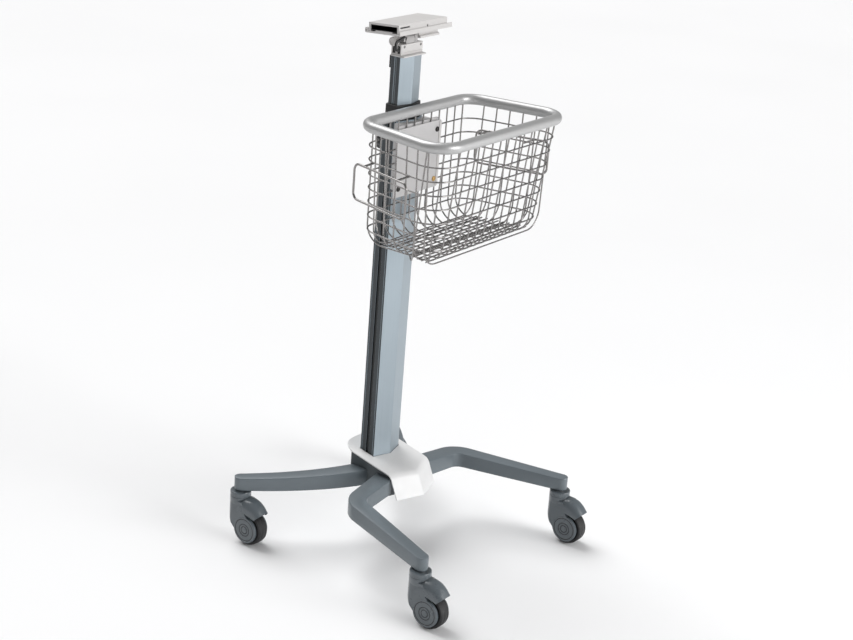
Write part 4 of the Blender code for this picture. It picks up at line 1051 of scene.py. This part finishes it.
class STAND_OT_head(bpy.types.Operator):
    """Makes the swivel block, tilt joint, slide-in seat, knob and release lever"""
    bl_idname = "stand.head"
    bl_label = "Head"

    def execute(self, context):
        self.flange_and_block()
        self.tilt_joint()
        self.seat()
        self.knob()
        self.lever()
        return {"FINISHED"}

    def flange_and_block(self):
        low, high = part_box("mast_flange")
        plan = [(37, -21.8), (37, 13), (0, 22.0), (-37, 13), (-37, -21.8)]
        flange = draft("top_flange", extrude(plan, "Z", low.z / MM, high.z / MM))
        soften(flange, 0.8, 2)
        fit(flange, "head_enamel", "mast", ["mast_flange"])
        low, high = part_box("swivel_block")
        y0 = (low.y - COLUMN.y) / MM
        y1 = (high.y - COLUMN.y) / MM
        z0 = low.z / MM
        z1 = high.z / MM
        half = high.x / MM
        outline = [(y0, z0), (y1, z0), (y1, z1), (y0, z1), (y0, z0 + 6.4), (y0 + 0.9, z0 + 6.0),
                   (y0 + 0.9, z0 + 4.9), (y0, z0 + 4.5)]
        body = draft("swivel_housing", extrude(outline, "X", -half, half))
        cut(body, block(-half - 5, half + 5, y0 + 2.6, y1 - 2.6, z0 + 2.6, z1 - 2.6))
        soften(body, 0.8, 2)
        fit(body, "head_enamel", "head_swivel", ["swivel_block"])
        web = draft("swivel_web", block(-half + 0.5, half - 0.5, -2.5, 2.5, z0 + 2.8, z1 - 2.8))
        fit(soften(web, 0.5, 1), "head_enamel", "head_swivel")
        fills = [block(2 - half, half - 2, y, y + 7.0, z0 + 2.8, z1 - 2.8) for y in (-9.7, 2.7)]
        fit(draft("swivel_lining", joined(*fills)), "black_plastic", "head_swivel")
        self.block_screws(y0, z0, z1)

    def block_screws(self, y0, z0, z1):
        """Two small dark screws on the housing's front."""
        profile = [(1.1, 0.6), (1.2, -0.2), (2.0, -0.6), (2.7, -0.2), (2.8, 0.8), (1.2, 0.9), (1.2, 2.2)]
        bit = smooth(draft("small_screw", lathe(profile, "Y", 24), Matrix.Scale(MM, 4)), 35)
        points = [STAND @ Vector((x, y0, z)) for x, z in ((-25.0, z1 - 4.6), (28.5, z1 - 5.0))]
        mesh = bpy.data.meshes.new("housing_screws")
        mesh.from_pydata(points, [], [])
        screws = bpy.data.objects.new("housing_screws", mesh)
        bpy.context.scene.collection.objects.link(screws)
        grow(screws, shared_tree("stand_screws", scatter_tree),
             {"Screw": bit, "Material": finishes()["screw_dark"]})
        bpy.data.objects.remove(bit)
        fit(screws, "screw_dark", "head_swivel")

    def tilt_joint(self):
        yoke_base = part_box("tilt_yoke")[0].z / MM
        pivot = TILT_AXIS.z / MM
        outline = [(-10.5, yoke_base), (10.5, yoke_base)] + arc((0, pivot), 10.5, 0, 180, 24)
        yoke = draft("tilt_knuckle", extrude(outline, "X", -18, 18))
        wedge = [(-19, pivot - 4), (-10, pivot + 14), (-19, pivot + 14)]
        cut(yoke, extrude(wedge, "Y", -14, -3))
        cut(yoke, block(10.2, 11.4, -14, -7.5, yoke_base + 2, pivot + 14))
        soften(yoke, 0.8, 2)
        fit(yoke, "head_casting", "head_swivel", ["tilt_yoke"])
        shape = [(-22.5, -4.5), (-18.4, -4.5), (-18.4, 11.5), (18.4, 11.5), (18.4, -4.5), (22.5, -4.5),
                 (22.5, 16.5), (-22.5, 16.5)]
        cradle = draft("tilt_saddle", extrude(shape, "Y", -8.5, 8.5), SEAT)
        soften(cradle, 0.7, 2)
        fit(cradle, "head_casting", "seat", ["tilt_cradle"])
        repaint("tilt_pin", "steel_bright")

    def seat(self):
        rail = [(-11.5, -2), (11.5, -2), (11.5, 2), (7, 4.5), (7, 16.5), (-7, 16.5), (-7, 4.5), (-11.5, 2)]
        thing = draft("tee_rail", extrude(rail, "X", 27.5, 92), SEAT)
        soften(thing, 0.7, 2)
        fit(thing, "head_enamel", "seat", ["under_rail"])
        half = [(40.5, 16.8), (40.5, 26.0), (38.2, 26.0), (38.2, 20.8), (21, 20.8), (21, 23.2)]
        tray = half + [(-y, z) for y, z in reversed(half)]
        base = draft("seat_tray", extrude(tray, "X", -78, 95.5), SEAT)
        ear = rounded([(39.5, 16.8), (47.5, 16.8), (47.5, 27.4), (39.5, 27.4)], 3.0, 6)
        cut(base, extrude(ear, "X", -78, -73), "UNION", SEAT)
        cut(base, moved(lathe([(2.2, -90), (2.2, -60)], "X", 28), Vector((0, 44.0, 22.1))), place=SEAT)
        lug = block(-31, -25, -12.2, -8.2, 6.5, 17.8)
        cut(base, lug, "UNION", SEAT)
        stud = moved(lathe([(1.5, -17.5), (1.5, -11.2)], "Y", 20), Vector((-28, 0, 9.5)))
        cut(base, stud, "UNION", SEAT)
        soften(base, 0.5, 2)
        fit(base, "head_enamel", "seat", ["seat_base"])
        channel = draft("slide_housing", block(-78, 82, -37.8, 37.8, 21.1, 38.4), SEAT)
        cut(channel, block(-90, 76, -33.0, 33.0, 11, 34.0), place=SEAT)
        cut(channel, block(60, 90, -21.3, 21.3, 11, 23.5), place=SEAT)
        cut(channel, block(-73, -42, -40, -35.0, 30.8, 33.6), place=SEAT)
        cut(channel, moved(lathe([(2.0, -40), (2.0, -35.0)], "Y", 24), Vector((16, 0, 28.4))), place=SEAT)
        soften(channel, 0.7, 2)
        fit(channel, "head_enamel", "seat", ["slide_channel"])
        # The housing's upward faces get the lightened copy: painted light.
        two_tone(channel, "head_top", 2)
        plug = moved(lathe([(1.8, -36.2), (1.8, -35.2)], "Y", 24), Vector((16, 0, 28.4)))
        backing = draft("slot_backing", joined(block(-72.8, -42.2, -36.2, -35.2, 31.0, 33.4), plug), SEAT)
        fit(backing, "black_plastic", "seat")
        lining = draft("slide_lining", block(-76.5, 75.7, -32.8, 32.8, 23.5, 33.8), SEAT)
        cut(lining, block(-80, 74.8, -31.9, 31.9, 24.3, 33.0), place=SEAT)
        fit(soften(lining, 0.2, 1), "black_plastic", "seat")

    def knob(self):
        """Tilt lock knob with fine ribs round its edge."""
        low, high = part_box("tilt_knob")
        near = high.x / MM
        far = low.x / MM
        place = Matrix.Translation(TILT_AXIS) @ Matrix.Scale(MM, 4)
        profile = [(5.5, far + 0.8), (6.2, far), (8.2, far), (8.9, far + 0.7), (8.9, near - 0.7),
                   (8.2, near)]
        thing = smooth(draft("tilt_knob_grip", lathe(profile, "X", 48), Matrix.Scale(MM, 4)), 35)
        rib = [(8.6, -0.35), (9.35, -0.22), (9.35, 0.22), (8.6, 0.35)]
        ends = [[(x, v, -u) for u, v in rib] for x in (far + 1.4, near - 1.4)]
        upright = Matrix.Rotation(math.pi / 2, 4, "Y") @ Matrix.Scale(MM, 4)
        tooth = draft("tooth", skin(ends), upright)
        self.add_ribs(thing, tooth)
        thing.data.transform(Matrix.Translation(TILT_AXIS))
        fit(thing, "head_enamel", "tilt_knob", ["tilt_knob"])

    def add_ribs(self, thing, tooth):
        """Runs the rib tree with the knob's axis turned onto Z, then turns it back."""
        thing.data.transform(Matrix.Rotation(math.pi / 2, 4, "Y"))
        grow(thing, shared_tree("stand_ribs", rib_tree),
             {"Rib": tooth, "Count": 36, "Radius": 0.0, "Material": finishes()["head_enamel"]})
        bpy.data.objects.remove(tooth)
        thing.data.transform(Matrix.Rotation(-math.pi / 2, 4, "Y"))

    def lever(self):
        """Thumb lever: a flat bar bent round the end of the swivel housing."""
        run = smooth_run([(-25.0, 0, 9.3), (-30, 0, 8.2), (-36, 0, 5.8), (-43, 0, 3.6), (-49.5, 0, 2.0),
                          (-54.5, 0, 0.0), (-57.4, 0, -4.0), (-58.3, 0, -9.0), (-57.4, 0, -13.5),
                          (-54.0, 0, -16.0), (-49.5, 0, -17.0)], 4)
        rings = []
        for index, point in enumerate(run):
            back = run[max(index - 1, 0)]
            ahead = run[min(index + 1, len(run) - 1)]
            along = (ahead - back).normalized()
            across = Vector((-along.z, 0, along.x))
            half = 2.3 + 0.6 * math.sin(math.pi * index / (len(run) - 1))
            ring = []
            for u, v in LEVER_SECTION:
                ring.append(point + across * half * u + Vector((0, -15.0 + 2.4 * v, 0)))
            rings.append(ring)
        thing = smooth(draft("thumb_lever", skin(rings), SEAT), 50)
        fit(thing, "black_plastic", "release_lever", ["release_lever"])


# ------------------------------------------------------------------ casters
HUB_YZ = (-32.0, 37.5)


def fork_shape():
    """Cheeks and neck of a caster about its swivel axis."""
    side = [(21.6, 98), (21.2, 80), (19.0, 64), (13.0, 51), (6.0, 41)]
    side += arc(HUB_YZ, 29.0, -12, -258, 40)
    side += [(-33.5, 70), (-29.8, 74), (-28.8, 84), (-27.0, 90), (-23.5, 95), (-21, 98)]
    body = draft("fork", extrude(side, "X", -24, 24), Matrix.Scale(MM, 4))
    plan = [(20.9, -75), (20.9, 3)] + arc((0, 0), 22.4, 20, 160, 16) + [(-20.9, 3), (-20.9, -75)]
    own = Matrix.Scale(MM, 4)
    cut(body, extrude(plan, "Z", -5, 120), "INTERSECT", own)
    cut(body, moved(lathe([(40.5, -14.7), (40.5, 14.7)], "X", 72), Vector((0, *HUB_YZ))), place=own)
    cut(body, block(-15.0, 15.0, -60, -20.8, 50, 130), place=own)
    soften(body, 0.9, 2, 38)
    return body


def collar_shape():
    profile = [(6.4, 88.2), (20.5, 88.2), (22.5, 92.0), (22.6, 104.6), (21.9, 105.4), (21.9, 106.6),
               (22.6, 107.4), (22.6, 115.2), (21.9, 116.3), (20.6, 116.6), (17.6, 116.6), (17.0, 115.9),
               (10.4, 115.7), (6.4, 115.7)]
    return lathe(profile, "Z", 56, hollow=True)


def disc_shape(sign):
    """Ringed face of one fork cheek, about the wheel's axis."""
    profile = [(30.0, 14.9), (30.0, 20.4), (29.2, 21.3), (27.2, 21.5), (25.8, 21.4), (25.2, 20.5),
               (24.2, 20.5), (23.6, 21.2), (20.0, 21.5), (15.2, 21.5), (14.4, 20.6), (12.6, 20.6),
               (12.0, 21.4), (9.4, 21.7),
               (8.6, 20.9), (7.2, 20.9), (6.6, 21.7), (3.0, 22.2)]
    shape = lathe([(radius, sign * along) for radius, along in profile], "X", 64)
    bmesh.ops.recalc_face_normals(shape, faces=shape.faces)
    return moved(shape, Vector((0, *HUB_YZ)))


def groove_shape(sign):
    """Near-black rings that lie in the grooves of one ringed face: painted shade in the grooves."""
    rings = []
    for radius in (24.7, 13.5, 7.9):
        profile = [(radius - 0.7, 20.3), (radius + 0.7, 20.3), (radius + 0.7, 21.05), (radius - 0.7, 21.05)]
        ring = lathe([(out, sign * along) for out, along in profile], "X", 64, hollow=True)
        bmesh.ops.recalc_face_normals(ring, faces=ring.faces)
        rings.append(moved(ring, Vector((0, *HUB_YZ))))
    return joined(*rings)


def hood_shape():
    """Arched brake pedal over the wheel, with skirts down both sides, as an open sheet."""
    crown = smooth_run([(0, -23.6, 105.4), (0, -34.6, 104.2), (0, -47.0, 100.0), (0, -58.5, 92.0),
                        (0, -68.9, 80.0)], 6)
    skirt = smooth_run([(22.7, 2.4, 71.5), (22.7, -14.0, 75.6), (22.4, -31.0, 76.2), (21.4, -44.0, 72.6),
                        (19.8, -56.6, 67.7)], 6)
    rows = []
    for top, side in zip(crown, skirt):
        row = []
        for step in range(29):
            turn = math.radians(-90 + 180 * step / 28)
            across = math.copysign(abs(math.sin(turn)) ** 0.72, turn)
            fall = 1 - max(math.cos(turn), 0.0) ** 0.72
            row.append((side.x * across, top.y + (side.y - top.y) * fall, top.z + (side.z - top.z) * fall))
        rows.append(row)
    return sheet(rows)


class STAND_OT_casters(bpy.types.Operator):
    """Makes the four casters: fork, ringed discs, brake pedal, wheel and tyre"""
    bl_idname = "stand.casters"
    bl_label = "Casters"

    def execute(self, context):
        own = Matrix.Scale(MM, 4)
        fork = fork_shape()
        trims = smooth(draft("trim", joined(collar_shape(), disc_shape(1), disc_shape(-1)), own), 30)
        # Near-black rings in the disc grooves: painted shade.
        rings = smooth(draft("rings", joined(groove_shape(1), groove_shape(-1)), own), 30)
        pedal = draft("pedal", hood_shape(), own)
        face_out(pedal, Vector((0, -0.032, 0.0375)))
        wall = pedal.modifiers.new("wall", "SOLIDIFY")
        wall.thickness = 0.8 * MM
        wall.offset = -1
        settle(pedal)
        smooth(pedal, 50)
        half = [(28.6, -11.8), (31.5, -13.0), (34.6, -13.5), (36.4, -12.2), (37.2, -9.6), (37.4, -6.2),
                (37.1, -5.7), (37.4, -5.2)]
        tread = half + [(radius, -along) for radius, along in reversed(half)]
        tyre = draft("tyre", moved(lathe(tread, "X", 72, hollow=True), Vector((0, *HUB_YZ))), own)
        smooth(tyre, 50)
        flank = [(4.5, -11.5), (10, -11.5), (12, -8), (24, -8), (28.1, -11.5)]
        rim = flank + [(radius, -along) for radius, along in reversed(flank)]
        wheel = draft("wheel", moved(lathe(rim, "X", 56, hollow=True), Vector((0, *HUB_YZ))), own)
        smooth(wheel, 30)
        kinds = [(fork, "fork", "caster_plastic", "caster_{}", ["caster_fork_{}"], "fork_plastic"),
                 (trims, "discs", "caster_plastic", "caster_{}", [], "fork_plastic"),
                 (rings, "disc_rings", "black_plastic", "caster_{}", [], "fork_plastic"),
                 (pedal, "pedal", "caster_plastic", "pedal_{}", ["caster_pedal_{}"], "pedal_plastic"),
                 (tyre, "tyre", "tyre_rubber", "wheel_{}", ["caster_tyre_{}"], "tyre_rubber"),
                 (wheel, "wheel", "wheel_plastic", "wheel_{}", ["caster_wheel_{}"], "wheel_plastic")]
        for corner in CORNERS:
            for source, kind, finish, body, nodes, slot in kinds:
                mesh = source.data.copy()
                mesh.transform(Matrix.Translation(SWIVELS[corner]))
                thing = bpy.data.objects.new(f"{kind}_{corner}", mesh)
                bpy.context.scene.collection.objects.link(thing)
                fit(thing, finish, body.format(corner), [node.format(corner) for node in nodes])
            repaint(f"caster_stem_{corner}", "steel_bright")
            repaint(f"caster_axle_{corner}", "steel_bright")
        for source, *_ in kinds:
            bpy.data.objects.remove(source)
        return {"FINISHED"}


# ------------------------------------------------------------------ stage
class STAND_OT_stage(bpy.types.Operator):
    """Sets the pale floor, the soft lights and the camera"""
    bl_idname = "stand.stage"
    bl_label = "Stage"

    def execute(self, context):
        self.floor()
        self.lights(context)
        self.camera(context)
        return {"FINISHED"}

    def floor(self):
        rows = [[(x, y, 0.0) for x in (-9000, 9000)] for y in (-9000, 9000)]
        floor = draft("floor", sheet(rows), Matrix.Scale(MM, 4))
        material, nodes, links, shader = new_material("floor_pale")
        place = coordinates(nodes, links)
        clouds = noise(nodes, links, place, 0.8, 2.0)
        white = ramp(nodes, links, clouds, (0.93, 0.93, 0.935), (0.95, 0.95, 0.955))
        links.new(white, shader.inputs["Base Color"])
        shader.inputs["Roughness"].default_value = 0.9
        shader.inputs["Specular IOR Level"].default_value = 0.1
        floor.data.materials.append(material)

    def lights(self, context):
        studio = settings().studio
        world = bpy.data.worlds.new("studio")
        world.use_nodes = True
        nodes = world.node_tree.nodes
        background = nodes["Background"]
        background.inputs["Color"].default_value = (1.0, 1.0, 1.0, 1.0)
        seen = nodes.new("ShaderNodeLightPath")
        strength = nodes.new("ShaderNodeMix")
        strength.inputs["A"].default_value = studio.sky
        strength.inputs["B"].default_value = 1.0
        world.node_tree.links.new(seen.outputs["Is Camera Ray"], strength.inputs["Factor"])
        world.node_tree.links.new(strength.outputs["Result"], background.inputs["Strength"])
        context.scene.world = world
        context.scene.view_settings.view_transform = "Standard"
        for name, kind, strength, width, place in (
                ("back", "SUN", studio.back, math.radians(45), (0.1, 0.6, 0.9)),
                ("front", "SUN", studio.front, math.radians(35), (0.2, -0.9, 0.28)),
                ("strip", "AREA", studio.strip, 0.7, (0.78, -1.38, 0.85))):
            light = bpy.data.lights.new(name, kind)
            light.energy = strength
            if kind == "SUN":
                light.angle = width
            else:
                light.shape = "RECTANGLE"
                light.size = width
                light.size_y = 1.6
            lamp = bpy.data.objects.new(name, light)
            lamp.location = COLUMN + Vector(place)
            aim = -Vector(place) if kind == "SUN" else -Vector((place[0], place[1], 0.1))
            lamp.rotation_euler = aim.to_track_quat("-Z", "Y").to_euler()
            lamp.visible_camera = False
            context.scene.collection.objects.link(lamp)

    def camera(self, context):
        yaw, pitch, roll = (math.radians(angle) for angle in (54.51, 20.61, -4.43))
        ahead = Vector((math.sin(yaw) * math.cos(pitch), math.cos(yaw) * math.cos(pitch), -math.sin(pitch)))
        level = Vector((math.cos(yaw), -math.sin(yaw), 0.0))
        down = ahead.cross(level)
        right = math.cos(roll) * level + math.sin(roll) * down
        under = -math.sin(roll) * level + math.cos(roll) * down
        data = bpy.data.cameras.new("camera")
        data.sensor_width = 36.0
        data.lens = settings().studio.lens
        data.clip_end = 60.0
        camera = bpy.data.objects.new("camera", data)
        turn = Matrix((right, -under, -ahead)).transposed().to_4x4()
        camera.matrix_world = Matrix.Translation(COLUMN + Vector((-2.83628, -2.12229, 1.83358))) @ turn
        context.scene.collection.objects.link(camera)
        context.scene.camera = camera


# ------------------------------------------------------------------ panel and registration
class STAND_PT_panel(bpy.types.Panel):
    """Lists the stand's pieces and settings"""
    bl_idname = "STAND_PT_panel"
    bl_label = "Roll stand"
    bl_space_type = "VIEW_3D"
    bl_region_type = "UI"
    bl_category = "Roll stand"

    def draw(self, context):
        layout = self.layout
        for operator in PIECES:
            layout.operator(operator.bl_idname)
        stand = context.scene.roll_stand
        for group in (stand.paint, stand.wire, stand.studio):
            box = layout.box()
            for name in group.__annotations__:
                box.prop(group, name)


PIECES = (STAND_OT_stage, STAND_OT_legs, STAND_OT_cover, STAND_OT_column, STAND_OT_basket, STAND_OT_head,
          STAND_OT_casters)
CLASSES = (PaintSettings, WireSettings, StudioSettings, RollStandSettings) + PIECES + (STAND_PT_panel,)


def register():
    for cls in CLASSES:
        bpy.utils.register_class(cls)
    bpy.types.Scene.roll_stand = PointerProperty(type=RollStandSettings)


def unregister():
    del bpy.types.Scene.roll_stand
    for cls in reversed(CLASSES):
        bpy.utils.unregister_class(cls)


def main():
    register()
    bpy.ops.stand.stage()
    bpy.ops.stand.legs()
    bpy.ops.stand.cover()
    bpy.ops.stand.column()
    bpy.ops.stand.basket()
    bpy.ops.stand.head()
    bpy.ops.stand.casters()


if __name__ == "__main__":
    main()
